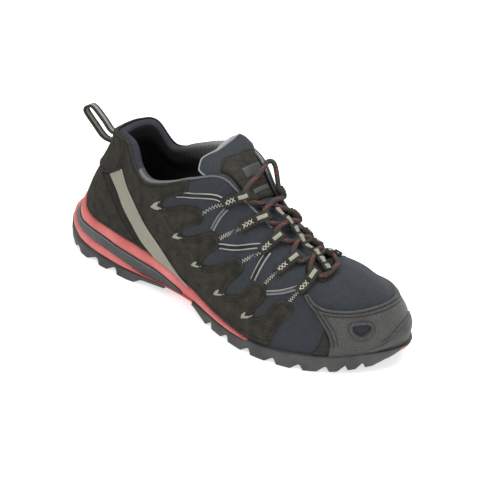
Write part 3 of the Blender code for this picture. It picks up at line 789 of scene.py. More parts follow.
def evenly(path: Array, pitch: float, closed: bool = False) -> Array:
    """The same path with even steps.

    Args:
        path: points of the path.
        pitch: rough distance between the new points.
        closed: whether the path comes home to its start.

    Returns:
        The new points.
    """
    if closed:
        path = np.concatenate([path, path[:1]])
    length = lengths_along(path)
    count = max(2, round(length[-1] / pitch) + 1)
    made = read_along(path, length, np.linspace(0, length[-1], count))
    return made[:-1] if closed else made


def carried(path: Array, hint: Array) -> tuple[Array, Array]:
    """Directions across and up along a path that turn no more than it does.

    Args:
        path: points of the path.
        hint: rough up direction at its start.

    Returns:
        Unit directions across and up at each point.
    """
    along = unit(np.gradient(path, axis=0))
    ups = [hint]
    for step in along:
        ups.append(unit(ups[-1] - step * (ups[-1] @ step)))
    up = np.array(ups[1:])
    return np.cross(along, up), up


def cord(path: Array, width: float, sides: int = 10, hint: Array = UP) -> Shape:
    """A round cord along a path."""
    return sweep(path, *carried(path, hint), oval(width, width, sides))


def on_surface(surface: Surface, line: Array, lift: float) -> tuple[Array, Array, Array]:
    """A line of spots laid on a surface.

    Args:
        surface: where a spot and a lift are in space.
        line: the spots.
        lift: height above the surface.

    Returns:
        Points, unit directions across the line and unit directions away from the surface.
    """
    points = surface(line[:, 0], line[:, 1], np.full(len(line), lift))
    up = unit(surface(line[:, 0], line[:, 1], np.full(len(line), lift + 1.0)) - points)
    across = unit(np.cross(np.gradient(points, axis=0), up))
    return points, across, up


def laid_on(surface: Surface, line: Array, lift: float, profile: Array,
            marks: Sequence[int] | None = None) -> Shape:
    """A band or cord laid along a line of spots.

    Args:
        surface: what it lies on.
        line: the spots.
        lift: height of the profile's middle above the surface.
        profile: points of the profile.
        marks: finish of each side of the profile.

    Returns:
        The closed shape.
    """
    points, across, up = on_surface(surface, line, lift)
    return sweep(points, across, up, profile, marks)


def strokes(starts: Array, ends: Array, ups: Array, width: float) -> Shape:
    """Many short rounded stitches.

    Args:
        starts: where each stitch goes in.
        ends: where it comes out.
        ups: unit direction away from the cloth at each stitch.
        width: thickness of the thread.

    Returns:
        All the stitches as one shape.
    """
    stations = ((0.0, 0.45, -0.3), (0.2, 1.0, 0.1), (0.8, 1.0, 0.1), (1.0, 0.45, -0.3))
    sides = 6
    turn = np.linspace(0, 2 * math.pi, sides, endpoint=False)
    across = unit(np.cross(ends - starts, ups))
    rings = []
    for share, swell, rise in stations:
        middle = starts + share * (ends - starts) + rise * width * ups
        spoke = np.cos(turn)[None, :, None] * across[:, None] + np.sin(turn)[None, :, None] * ups[:, None]
        rings.append(middle[:, None] + swell * width / 2 * spoke)
    points = np.stack(rings, 1)
    one = tube(points[0], np.arange(4.0))
    size = len(stations) * sides
    faces = [tuple(n * size + k for k in face) for n in range(len(starts)) for face in one.faces]
    spots = np.tile(one.spots, (len(starts), 1))
    return Shape(points.reshape(-1, 3), faces, spots, np.zeros(len(faces), int))


def stitch_run(surface: Surface, line: Array, lift: float, pitch: float = 3.0,
               stitch: float = 2.1, width: float = 0.7) -> Shape:
    """A row of stitches along a line of spots.

    Args:
        surface: what is stitched.
        line: the spots.
        lift: height of the cloth's face.
        pitch: millimetres from one stitch to the next.
        stitch: length of a stitch.
        width: thickness of the thread.

    Returns:
        The stitches.
    """
    points, _, ups = on_surface(surface, line, lift)
    length = lengths_along(points)
    begin = np.arange(0.0, length[-1] - stitch, pitch)
    starts, ends = (read_along(points, length, begin + ahead) for ahead in (0.0, stitch))
    return strokes(starts, ends, unit(read_along(ups, length, begin)), width)


def zigzag(surface: Surface, start: Spot, end: Spot, lift: float, width: float, pitch: float,
           thread: float) -> Shape:
    """A zigzag of thread between two spots.

    Args:
        surface: what it is sewn on.
        start: spot where it starts.
        end: spot where it ends.
        lift: height of its middle line above the surface.
        width: how far it swings from side to side.
        pitch: millimetres from one tooth to the next.
        thread: thickness of the thread.

    Returns:
        The zigzag as one cord.
    """
    start, end = np.asarray(start) * FLAT, np.asarray(end) * FLAT
    along = end - start
    turns = round(np.linalg.norm(along) / pitch)
    side = np.array((-along[1], along[0])) / np.linalg.norm(along) * width / 2
    steps = np.arange(2 * turns + 1)
    corners = start + steps[:, None] / (2 * turns) * along + np.where(steps % 2, 1, -1)[:, None] * side
    points, _, up = on_surface(surface, evenly(corners, 0.8) / FLAT, lift)
    return cord(points, thread, 6, up[0])


# Overlays

@dataclass(frozen=True)
class CutEdge:
    """How a panel's face rises from its cut edge.

    Attributes:
        inwards: distances in from the edge.
        heights: height of the face at each distance.
    """

    inwards: tuple[float, ...]
    heights: tuple[float, ...]

    def height(self, distance: Array) -> Array:
        """Height of the face at distances in from the edge."""
        return np.interp(distance, self.inwards, self.heights)


ROLLED = CutEdge((0.0, 0.4, 1.0, 1.9), (0.35, 1.15, 1.7, 1.9))
TWIN_RIDGE = CutEdge(
    (0.0, 0.4, 1.1, 1.8, 2.3, 2.9, 3.6, 4.3, 4.8, 5.6),
    (0.5, 1.7, 2.4, 2.1, 1.0, 1.9, 2.4, 2.0, 1.0, 1.6))
HOLE_RIM = CutEdge((0.0, 0.5, 1.2, 2.0, 2.8, 3.6), (0.4, 2.0, 2.9, 2.7, 1.1, 1.6))
THIN = CutEdge((0.0, 0.3, 0.8), (0.2, 0.7, 0.9))


def outline_curve(spots: Sequence[Spot], pitch: float) -> Array:
    """Closed curve through given spots, in flat millimetres."""
    return evenly(through(np.asarray(spots) * FLAT, 12, closed=True), pitch, closed=True)


def edge_distance(points: Array, loop: Array) -> Array:
    """Distance of flat points from a closed curve.

    Args:
        points: the points.
        loop: the curve.

    Returns:
        A distance for each point.
    """
    start = loop[None]
    span = np.roll(loop, -1, 0)[None] - start
    reach = points[:, None] - start
    share = np.clip((reach * span).sum(-1) / np.maximum((span**2).sum(-1), 1e-9), 0, 1)
    return np.linalg.norm(reach - share[..., None] * span, axis=-1).min(1)


def inside(point: Array, loop: Array) -> bool:
    """Whether a flat point lies inside a closed curve.

    Args:
        point: the point.
        loop: the curve.

    Returns:
        True inside.
    """
    ahead = np.roll(loop, -1, 0)
    crossed = (loop[:, 1] > point[1]) != (ahead[:, 1] > point[1])
    first, second = loop[crossed], ahead[crossed]
    share = (point[1] - first[:, 1]) / (second[:, 1] - first[:, 1])
    return bool(np.sum(first[:, 0] + share * (second[:, 0] - first[:, 0]) > point[0]) % 2)


def inset_line(loop: Array, distance: float, keep: float = 0.93) -> Array:
    """A closed curve's line some way inside it, without the points that come too near the edge.

    Args:
        loop: the curve, in flat millimetres.
        distance: how far in; a negative one is outside.
        keep: least share of the distance that a kept point has.

    Returns:
        Points of the inset line.
    """
    along = np.roll(loop, -1, 0) - np.roll(loop, 1, 0)
    area = np.sum(loop[:, 0] * np.roll(loop[:, 1], -1) - np.roll(loop[:, 0], -1) * loop[:, 1])
    inward = unit(np.stack([-along[:, 1], along[:, 0]], 1)) * np.sign(area)
    line = loop + distance * inward
    return line[edge_distance(line, loop) > keep * abs(distance)]


def panel_field(loops: Sequence[Array], edge: CutEdge, hole_edge: CutEdge, pitch: float) -> Array:
    """Flat points that a panel's face is made of.

    Args:
        loops: its outline, then its holes.
        edge: how its face rises from the outline.
        hole_edge: how its face rises from a hole.
        pitch: distance between the points inside.

    Returns:
        The loops' own points, then the lines inside them, then an even field between.
    """
    cuts = [(edge, 1)] + [(hole_edge, -1)] * (len(loops) - 1)
    lines = list(loops)
    for loop, (cut, inward) in zip(loops, cuts):
        lines += [inset_line(loop, inward * distance) for distance in cut.inwards[1:]]
    lowest, highest = loops[0].min(0), loops[0].max(0)
    rows = np.arange(lowest[1], highest[1], pitch * math.sqrt(3) / 2)
    field = np.array([
        (x + pitch / 2 * (n % 2), y) for n, y in enumerate(rows)
        for x in np.arange(lowest[0], highest[0], pitch)])
    clear = np.full(len(field), True)
    for loop, (cut, _) in zip(loops, cuts):
        clear &= edge_distance(field, loop) > cut.inwards[-1] + pitch / 2
    return np.concatenate([*lines, field[clear]])


def panel(surface: Surface, outline: Sequence[Spot], edge: CutEdge, holes: Sequence[Sequence[Spot]] = (),
          hole_edge: CutEdge = ROLLED, low: float = 0.05, pitch: float = 2.8,
          plain_below: float = -1.0) -> Shape:
    """An overlay with a shaped edge, closed underneath.

    Args:
        surface: what it lies on.
        outline: given spots round it.
        edge: how its face rises from the cut edge.
        holes: given spots round each hole.
        hole_edge: how its face rises from a hole's edge.
        low: height of its under face.
        pitch: distance between the points of its face.
        plain_below: share of the height under which its edge isn't shaped.

    Returns:
        The closed shape.
    """
    loops = [outline_curve(spots, pitch / 2) for spots in (outline, *holes)]
    edges: list[tuple[int, int]] = []
    for loop in loops:
        start, count = len(edges), len(loop)
        edges += [(start + k, start + (k + 1) % count) for k in range(count)]
    field = panel_field(loops, edge, hole_edge, pitch)
    within_edges, same_point = 1, 1e-4
    result = delaunay_2d_cdt([Vector(point) for point in field], edges, [], within_edges, same_point)
    spots = np.array([tuple(point) for point in result[0]])
    height = edge.height(edge_distance(spots, loops[0]))
    height = np.where(spots[:, 1] < plain_below * FLAT[1], edge.heights[-1], height)
    for loop in loops[1:]:
        distance = edge_distance(spots, loop)
        height = np.where(distance < hole_edge.inwards[-1], hole_edge.height(distance), height)
    top = [
        tuple(face) for face in result[2]
        if not any(inside(spots[face].mean(0), loop) for loop in loops[1:])]
    count = len(spots)
    sides = [(f[k], f[(k + 1) % len(f)]) for f in top for k in range(len(f))]
    taken = set(sides)
    faces = top + [tuple(count + k for k in reversed(face)) for face in top]
    faces += [(b, a, count + a, count + b) for a, b in sides if (b, a) not in taken]
    first, second = (spots / FLAT).T
    points = np.concatenate([surface(first, second, low + lift) for lift in (height, 0 * height)])
    both = np.concatenate([spots, spots])
    return Shape(points, faces, both[[k for face in faces for k in face]], np.zeros(len(faces), int))


class Workshop:
    """Turns shapes into pieces of the shoe."""

    def __init__(self) -> None:
        """Start with no materials made."""
        self.library = EffectLibrary()
        self.materials: dict[Finish, bpy.types.Material] = {}
        self.sharp_angle = math.radians(50)

    def material(self, finish: Finish) -> bpy.types.Material:
        """The material of a finish, made the first time it is asked for."""
        if finish not in self.materials:
            self.materials[finish] = finish.material(self.library)
        return self.materials[finish]

    def add(self, name: str, shape: Shape, *finishes: Finish) -> bpy.types.Object:
        """Make a piece.

        Args:
            name: the piece's name.
            shape: its mesh, in millimetres.
            finishes: its finishes, in the order of the shape's marks.

        Returns:
            The new object.
        """
        mesh = bpy.data.meshes.new(name)
        mesh.from_pydata(((shape.points - FOOTPRINT_MIDDLE) * MM).tolist(), [], shape.faces)
        for finish in finishes:
            mesh.materials.append(self.material(finish))
        mesh.polygons.foreach_set("material_index", shape.marks.astype(np.int32))
        mesh.uv_layers.new(name="texture_mm").data.foreach_set("uv", shape.spots.astype(np.float32).ravel())
        work = bmesh.new()
        work.from_mesh(mesh)
        bmesh.ops.remove_doubles(work, verts=work.verts, dist=0.005 * MM)
        bmesh.ops.recalc_face_normals(work, faces=work.faces)
        work.to_mesh(mesh)
        work.free()
        mesh.shade_smooth()
        mesh.set_sharp_from_angle(angle=self.sharp_angle)
        piece = bpy.data.objects.new(name, mesh)
        bpy.context.scene.collection.objects.link(piece)
        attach(piece, BODY)
        LOG.info("%s: %d faces", name, len(mesh.polygons))
        return piece

    def dress(self, name: str, shape: Shape, *finishes: Finish) -> bpy.types.Object:
        """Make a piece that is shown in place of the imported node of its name."""
        piece = self.add(name, shape, *finishes)
        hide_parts(name)
        return piece


@dataclass
class Assembly:
    """A part of the shoe that a workshop makes."""

    shop: Workshop


# Sole

# Heights of the layers under the heel, a row for each rung from heel to arch.
# rung, ground, tread_top, wedge_top, band_top
HEEL_LAYERS = np.array((
    (0, 2, 28, 36, 42.5),
    (1, 0.5, 25, 33, 40),
    (2, 0, 11.5, 20.8, 30.8),
    (2.4, 0, 8.8, 17.8, 29),
    (2.75, 0, 7.6, 16, 27),
    (3.2, 0, 7, 14.2, 24.6),
    (3.5, 0, 7.2, 12.8, 23.4),
    (3.82, 0, 7.8, 11, 22.2),
    (4.08, 4.5, 8.4, 9.9, 21.3),
    (4.5, 5.6, 9, 9.3, 20.2),
    (4.93, 7, 9.2, 9.55, 17.2),
    (5.05, 7.3, 8.4, 9.6, 16.2),
    (5.7, 8, 8.6, 10.2, 11.6),
    (6.1, 8, 8.4, 10.2, 10.6),
), float)

# The ball and toe: how high the tread stands and how thick the red layer over it is.
# rung, ground, midsole_thickness
FOREFOOT = np.array((
    (6.2, 6.0, 8.2),
    (6.5, 3.0, 7.0),
    (7, 0.0, 5.2),
    (8, 0.0, 3.6),
    (9, 0.0, 0.8),
    (11, 0.0, 0.0),
    (12, 1.5, 0.0),
    (13, 5.2, 0.0),
    (14, 11.0, 0.0),
), float)

# Upper edge of the toe bumper: section, share of the height
BUMPER_EDGE = np.array((
    (12.3, 0.02), (13.0, 0.03), (13.3, 0.055), (13.6, 0.1), (14.0, 0.17), (14.6, 0.215),
    (15.2, 0.21), (15.8, 0.16), (16.4, 0.08), (17.0, 0.02),
), float)

# Sides of the sole's layers: share of the height, how far out it stands
FOXING = np.array((
    (0.0, -1.2), (0.08, -0.1), (0.3, 1.3), (0.6, 1.5), (0.8, 1.2), (0.88, 1.0), (0.92, 1.5), (0.97, 1.4),
    (1.0, 0.2)))
HEEL_TREAD_SIDE = np.array((
    (0.0, 0.0), (0.05, 0.7), (0.3, 1.1), (0.6, 1.2), (0.88, 1.0), (0.92, 0.2), (1.0, -1.6)))
RIDGED_BAND = np.array((
    (0, -1.6), (0.05, -0.2), (0.12, 0.2), (0.45, 0.1), (0.78, -0.2), (0.83, 0.35), (0.9, 0.4), (0.94, -0.3),
    (0.97, -0.5), (1.0, -1.8)))
# Face of the band's ridge painted in a paler finish: a painted highlight where the ridge catches light.
RIDGE_HIGHLIGHT_SPAN = 5


@dataclass
class Sole(Assembly):
    """Treads, red layers and stabiliser band under the upper."""

    gap: float = 0.15
    step: float = 1 / 32
    tread_end: float = 4.95
    wedge_end: float = 6.12
    band_end: float = 5.6
    arch_start: float = 5.7
    forefoot_start: float = 6.15
    forefoot_joint: float = 0.02
    midsole_end: float = 9.0
    tread_depth: float = 4.2
    notch_slant: float = 0.4
    notch_inner: float = 0.4
    # Shares of a notch's length: its gentle slope and its steep one
    notch_slopes: Spot = (0.6, 0.25)
    rail_at: float = 0.45
    rail_half: float = 0.05
    rail_slope: float = 0.03
    bar_bend: float = 0.45
    bar_shift: float = 0.6
    bar_half: float = 0.08
    bar_slope: float = 0.05
    tread_columns: int = 45
    # Notches between lugs: rung where each starts, length
    heel_notches: tuple[Spot, ...] = ((0.6, 0.4), (1.64, 0.36), (2.24, 0.36), (2.84, 0.42))
    forefoot_notches: tuple[Spot, ...] = (
        (6.94, 0.38), (7.8, 0.42), (8.8, 0.43), (9.76, 0.43), (10.67, 0.41), (11.49, 0.36), (12.07, 0.27),
        (12.53, 0.25))
    # rung, how far the lugs' feet stand out
    lug_flare: tuple[Spot, ...] = (
        (0.0, 0.0), (1.8, 0.5), (2.4, 2.8), (3.6, 2.8), (4.2, 0.5), (6.2, 0.8), (7.0, 3.4), (9.5, 3.4),
        (12.5, 2.6), (13.3, 2.0))
    # rung, how far the lugs' feet draw in
    toe_tuck: tuple[Spot, ...] = ((13.0, 0.0), (13.6, 1.5), (14.2, 5.5), (15.5, 5.5), (17.0, 0.0))
    # The bumper: step and roll of its face, length of its ends, and where it leaves the tread
    bumper_lift: Spot = (1.3, 1.4)
    bumper_back: float = 0.1
    bumper_bury: float = 3.0
    bumper_ramp: float = 1.0
    bumper_share: float = 0.35
    bumper_rows: int = 90
    bumper_steps: int = 12
    # rung, how far the bumper's root stands out of the tread
    bumper_root: tuple[Spot, ...] = ((13.2, -1.5), (13.9, 0.35))
    inlay_ends: Spot = (13.9, 15.1)
    inlay_shares: tuple[float, ...] = (0.1, 0.3, 0.5, 0.7, 0.9)
    inlay_rows: int = 30
    inlay_lift: float = 0.5
    inlay_depth: float = 2.0

    def rungs(self, start: float, end: float) -> Array:
        """Close rungs between two ends."""
        return np.linspace(start, end, max(2, round((end - start) / self.step)))

    def layer(self, places: Array, low: Array, high: Array, side: Array,
              painted_highlight: int | None = None) -> Shape:
        """A layer of the sole: cross sections, one to a rung, each a closed ring.

        Args:
            places: rungs from heel to toe.
            low: height of the layer's under face at each rung.
            high: height of its top at each rung.
            side: its side as shares of the height and how far out each stands.
            painted_highlight: span of the side that takes the second, paler finish as a painted highlight.

        Returns:
            The closed layer.
        """
        height = low[:, None] + side[None, :, 0] * (high - low)[:, None]
        outer = LAST.sole_edge(places[:, None], side[None, :, 1], height)
        inner = LAST.sole_edge(COUNT - places[:, None], side[None, :, 1], height)
        shape = self.closed(np.concatenate([outer, inner[:, ::-1]], 1), places)
        # The ridge faces on both sides take the second finish as a painted highlight.
        if painted_highlight is not None:
            column = np.arange(len(shape.marks)) % (2 * len(side))
            shape.marks = np.isin(column, (painted_highlight, 2 * len(side) - 2 - painted_highlight)).astype(int)
        return shape

    def closed(self, rings: Array, places: Array) -> Shape:
        """Rings from heel to toe joined up, and filled where they don't end in a line."""
        ends = [end for end, is_open in ((0, places[0] > 0), (-1, places[-1] < TOE)) if is_open]
        return tube(rings, places * FLAT[0], ends=ends)

    def bulged(self, edge: float, middle: float, power: float = 3.0) -> Array:
        """Side of a layer that swells from its edges to its middle."""
        share = np.linspace(0, 1, 13)
        swell = 1 - np.abs(2 * share - 1) ** power
        return np.stack([share, edge + (middle - edge) * swell], 1)

    def groove(self, places: Array, columns: Array, notches: Sequence[Spot]) -> Array:
        """Share of the tread's depth that is cut away.

        Args:
            places: rungs of the tread.
            columns: places across it, -1 at one edge and 1 at the other.
            notches: rung where each notch between lugs starts, and its length.

        Returns:
            0 on a lug and 1 in a groove, for each rung and column.
        """
        def ditch(distance: Array, half: float, slope: float) -> Array:
            """1 inside a half width, sloping to 0 outside it."""
            return np.clip((half + slope - distance) / slope, 0, 1)

        def tooth(ahead: Array, length: float) -> Array:
            """A saw-toothed notch: it deepens gently towards the toe and ends steeply."""
            gentle, steep = (slope * length for slope in self.notch_slopes)
            return np.clip(ahead / gentle, 0, 1) * np.clip((length - ahead) / steep, 0, 1)

        place, column = places[:, None], columns[None, :]
        slanted = place + self.notch_slant * (1 - np.abs(column))
        teeth = np.max([tooth(slanted - start, length) for start, length in notches], 0)
        teeth = teeth * (np.abs(column) > self.notch_inner)
        rails = ditch(np.abs(np.abs(column) - self.rail_at), self.rail_half, self.rail_slope) + 0 * place
        bent = place + self.bar_bend * np.abs(column)
        away = np.min([np.abs(bent - start - self.bar_shift) for start, _ in notches], 0)
        bars = ditch(away, self.bar_half, self.bar_slope) * (np.abs(column) < self.rail_at)
        return np.maximum(np.maximum(teeth, rails), bars)

    def tread_edge(self, place: Array, whole: Array, height: Array, side: Array,
                   lug: Array | float) -> Array:
        """Points on the side of a tread.

        Args:
            place: rungs.
            whole: shares of the tread's height.
            height: heights over the floor.
            side: the side as shares of the height and how far out each stands.
            lug: 1 on a lug, whose foot stands out, and 0 in a notch.

        Returns:
            The points.
        """
        tuck = looked_up(self.toe_tuck, place)
        spread = looked_up(self.lug_flare, rung_of(place)) * lug * np.clip(1 - tuck, 0, 1)
        foot = np.clip(1 - whole, 0, 1)
        return LAST.sole_edge(place, looked_up(side, whole) + spread * foot**2 - tuck * foot, height)

    def tread(self, places: Array, ground: Array, top: Array, notches: Sequence[Spot],
              side: Array) -> Shape:
        """A tread with lugs cut in its underside and through its edges.

        Args:
            places: rungs of the tread.
            ground: height of its lugs at each rung.
            top: height of its upper face at each rung.
            notches: rung where each notch between lugs starts, and its length.
            side: its side as shares of the height and how far out each stands.

        Returns:
            The closed tread.
        """
        columns = np.linspace(-1, 1, self.tread_columns)
        cut = self.groove(places, columns, notches)
        depth = np.minimum(self.tread_depth, 0.7 * (top - ground))[:, None]
        under = ground[:, None] + depth * cut
        edges = []
        for place, low in ((places, under[:, 0]), (COUNT - places, under[:, -1])):
            height = low[:, None] + side[None, :, 0] * (top - low)[:, None]
            whole = (height - ground[:, None]) / (top - ground)[:, None]
            lug = 1 - (low - ground) / depth[:, 0]
            edges.append(self.tread_edge(place[:, None], whole, height, side, lug[:, None]))
        outer, inner = edges
        share = (columns[1:-1] + 1)[None, :, None] / 2
        floor = outer[:, :1] * (1 - share) + inner[:, :1] * share
        floor[..., 2] = under[:, 1:-1]
        return self.closed(np.concatenate([outer[:, ::-1], floor, inner], 1), places)

    def bumper(self) -> Shape:
        """The bumper over the toe, with a rolled upper edge."""
        places = np.linspace(BUMPER_EDGE[0, 0], BUMPER_EDGE[-1, 0], self.bumper_rows)
        place, rung = places[:, None], rung_of(places)
        steps = np.linspace(0, 1, self.bumper_steps)
        share = looked_up(BUMPER_EDGE, place) * steps
        step, roll = self.bumper_lift
        lift = np.where(steps < 1, step, 0.0) + roll * np.sqrt(1 - steps**6)
        lift = lift * np.interp(steps, (0, 0.55), (0.2, 1))
        ramp = np.sqrt(np.clip(np.minimum(place - places[0], places[-1] - place) / self.bumper_ramp, 0, 1))
        face = LAST.skin(place, share, lift * ramp + self.bumper_back)
        back = LAST.skin(place, share, self.bumper_back)
        ground = looked_up(FOREFOOT, rung)
        height = ground + self.bumper_share * (LAST.feather(rung) - ground)
        root = self.tread_edge(place, np.array(self.bumper_share), height[:, None], FOXING, 0.0)
        out = LAST.outward(place)
        proud = looked_up(self.bumper_root, rung)[:, None, None]
        ring = np.concatenate([root + proud * out, face, back[:, ::-1], root - self.bumper_bury * out], 1)
        return tube(ring, places * FLAT[0])

    def toe_inlay(self) -> Shape:
        """Red inlay in the front of the tread."""
        places = np.linspace(*self.inlay_ends, self.inlay_rows)
        place, rung = places[:, None], rung_of(places)
        ground, top = looked_up(FOREFOOT, rung), LAST.feather(rung)
        reach = np.sqrt(1 - np.linspace(-0.99, 0.99, self.inlay_rows) ** 4)[:, None]
        whole = 0.5 + (np.array(self.inlay_shares)[None] - 0.5) * reach
        height = ground[:, None] + whole * (top - ground)[:, None]
        face = self.tread_edge(place, whole, height, FOXING, 0.0)
        out = LAST.outward(place)
        ring = np.concatenate([face + self.inlay_lift * out, face[:, ::-1] - self.inlay_depth * out], 1)
        return tube(ring, places * FLAT[0])

    def build_heel(self) -> None:
        """Make the layers under the heel and the midsole that runs on from them."""
        ends = {"outsole_heel": self.tread_end, "heel_wedge": self.wedge_end, "stabiliser": self.band_end}
        rungs = {name: self.rungs(0, end) for name, end in ends.items()}
        places = rungs["outsole_heel"]
        ground, top = (looked_up(HEEL_LAYERS, places, k) for k in (1, 2))
        tread = self.tread(places, ground, top, self.heel_notches, HEEL_TREAD_SIDE)
        self.shop.dress("outsole_heel", tread, RUBBER)
        places = rungs["heel_wedge"]
        low, high = looked_up(HEEL_LAYERS, places, 2) + self.gap, looked_up(HEEL_LAYERS, places, 3)
        self.shop.dress("heel_wedge", self.layer(places, low, high, self.bulged(-1, 0.9)), RED)
        heel = rungs["stabiliser"]
        low, high = looked_up(HEEL_LAYERS, heel, 3) + self.gap, looked_up(HEEL_LAYERS, heel, 4)
        # The band's ridge face is painted in the paler film finish, a painted highlight where it catches
        # light.
        self.shop.dress("stabiliser", self.layer(heel, low, high, RIDGED_BAND, painted_highlight=RIDGE_HIGHLIGHT_SPAN), BAND, FILM_AND_HIGHLIGHT)
        arch = self.rungs(self.arch_start, self.forefoot_start - self.forefoot_joint)
        front = self.rungs(self.forefoot_start, self.midsole_end)
        places = np.concatenate([heel, arch, front])
        low = np.concatenate([
            high + self.gap, looked_up(HEEL_LAYERS, arch, 3) + self.gap,
            LAST.feather(front) - self.gap - looked_up(FOREFOOT, front, 2)])
        midsole = self.layer(places, low, LAST.feather(places) - self.gap, self.bulged(-1, 1.0))
        self.shop.dress("midsole", midsole, RED)

    def build(self) -> None:
        """Make every piece of the sole."""
        self.build_heel()
        places = self.rungs(self.forefoot_start, TOE)
        ground, thickness = (looked_up(FOREFOOT, places, k) for k in (1, 2))
        seat = np.where(places <= self.midsole_end, thickness + 2 * self.gap, self.gap)
        tread = self.tread(places, ground, LAST.feather(places) - seat, self.forefoot_notches, FOXING)
        self.shop.dress("outsole_forefoot", Shape.joined([tread, self.bumper()]), RUBBER)
        self.shop.add("toe_inlay", self.toe_inlay(), RED)


# Upper

@dataclass
class Upper(Assembly):
    """Hollow textile wall with a padded collar and its lining."""

    wall: float = 2.4
    pad: float = 5.2
    collar_front: float = 6.6
    collar_fade: float = 1.2
    pad_start: float = 0.55
    pad_run: float = 0.3
    columns_per_section: int = 10
    face_columns: int = 44
    roll_steps: int = 9
    roll_share: float = 0.8
    rim_texture: float = 1.6
    heel_edge_end: float = 3.3
    mesh_edge_end: float = 5.9
    piping_ends: tuple[float, float] = (5.6, 9.2)
    piped_share: float = 0.975
    piping_steps: int = 60
    piping_lift: float = 0.6
    piping_width: float = 1.3
    rim_columns: int = 2
    heel_rim_columns: int = 6
    # Soft troughs (-) and ridges (+) in the textile.
    # from_section, from_share, to_section, to_share, height, width
    creases: tuple[tuple[float, ...], ...] = (
        (10.9, 0.46, 10.55, 0.08, -0.6, 3.0),
        (11.25, 0.44, 11.0, 0.06, 0.6, 4.0),
        (11.6, 0.52, 13.2, 0.66, -0.3, 4.0),
        (16.4, 0.52, 15.0, 0.66, -0.3, 4.0),
        (7.9, 0.6, 8.2, 0.92, 0.6, 5.0),
        (8.9, 0.55, 9.1, 0.92, 0.6, 5.0),
        (9.9, 0.5, 10.1, 0.86, 0.6, 5.0),
        (6.3, 0.86, 7.0, 0.93, 1.2, 7.0),
    )

    def thickness(self, place: Array, share: Array) -> Array:
        """Thickness of the wall with its padding."""
        collar = np.clip((self.collar_front - rung_of(place)) / self.collar_fade, 0, 1)
        swell = np.clip((share - self.pad_start) / self.pad_run, 0, 1)
        return self.wall + self.pad * collar * eased(swell)

    def relief(self, place: Array, share: Array) -> Array:
        """Height of the creases.

        Args:
            place: places round the shoe.
            share: shares of the way from sole to rim.

        Returns:
            How far the textile stands out there.
        """
        lift = np.zeros(np.broadcast(place, share).shape)
        for row in self.creases:
            start, end = np.array(row[0:2]) * FLAT, np.array(row[2:4]) * FLAT
            for mirrored in (False, True):
                across = (COUNT - place if mirrored else place) * FLAT[0]
                reach = np.stack(np.broadcast_arrays(across, share * FLAT[1]), -1) - start
                span = end - start
                t = np.clip(reach @ span / (span @ span), 0, 1)
                distance = np.linalg.norm(reach - t[..., None] * span, axis=-1)
                lift += row[4] * np.exp(-(distance / row[5]) ** 2)
        return lift

    def rim_roll(self, places: Array) -> tuple[Array, Array]:
        """How high the rolled rim stands, and the share of the wall's height where it starts."""
        roll = self.roll_share * self.thickness(places, np.ones(1)) / 2
        return roll, 1 - roll / np.linalg.norm(LAST.rise(places, np.ones(len(places))), axis=1)

    def rings(self, places: Array) -> Array:
        """The wall's cross sections.

        Args:
            places: places round the shoe.

        Returns:
            A ring for each: up the outer face, over the rolled rim and down the inner face.
        """
        place = places[:, None]
        roll, top = self.rim_roll(places)
        share = np.linspace(0, 1, self.face_columns)[None] * top[:, None]
        outer = LAST.skin(place, share, self.relief(place, share))
        inner = LAST.skin(place, share, -self.thickness(place, share))
        turn = np.linspace(0, math.pi, self.roll_steps)[1:-1][None, :, None]
        middle = (outer[:, -1:] + inner[:, -1:]) / 2
        half = (outer[:, -1:] - inner[:, -1:]) / 2
        towards = unit(LAST.rise(places, top))[:, None]
        rolled = middle + np.cos(turn) * half + np.sin(turn) * roll[:, None, None] * towards
        return np.concatenate([outer, rolled, inner[:, ::-1]], 1)

    def finishes(self, places: Array, columns: int) -> Array:
        """Finishes of the wall's faces.

        Args:
            places: places of the rings.
            columns: points in a ring.

        Returns:
            A number for each face: textile, lining, or one of the rim's two meshes.
        """
        textile, lining, mesh, heel_mesh = range(4)
        column = np.tile(np.arange(columns), len(places))
        rung = np.repeat(rung_of(places), columns)
        rim = np.select([rung < self.heel_edge_end, rung < self.mesh_edge_end], [heel_mesh, mesh], textile)
        reach = np.where(rim == heel_mesh, self.heel_rim_columns, self.rim_columns)
        on_face, on_rim = column < self.face_columns - 1, column < self.face_columns + reach
        return np.select([on_face, on_rim], [textile, rim], lining)

    def build(self) -> None:
        """Make the wall, rolled over at its rim, and the piping beside the throat."""
        places = np.arange(0, COUNT, 1 / self.columns_per_section)
        rings = self.rings(places)
        columns = rings.shape[1]
        _, top = self.rim_roll(places)
        face = np.linspace(0, top.mean() * FLAT[1], self.face_columns)
        across = np.append(face, FLAT[1] + np.arange(columns + 1 - self.face_columns) * self.rim_texture)
        along = np.append(places, COUNT) * FLAT[0]
        wall = grid(rings, along, across, wrap_rows=True, wrap_columns=True)
        wall.marks = self.finishes(places, columns)
        upper = self.shop.dress("upper", wall, TEXTILE, LINING, EDGE_MESH, HEEL_EDGE)
        along = np.linspace(*self.piping_ends, self.piping_steps)
        line = np.stack([along, np.full(self.piping_steps, self.piped_share)], 1)
        width = self.piping_width
        piping = [laid_on(side.skin, line, self.piping_lift, oval(width, width, 8)) for side in Side]
        self.shop.add("throat_piping", Shape.joined(piping), EDGE_MESH)


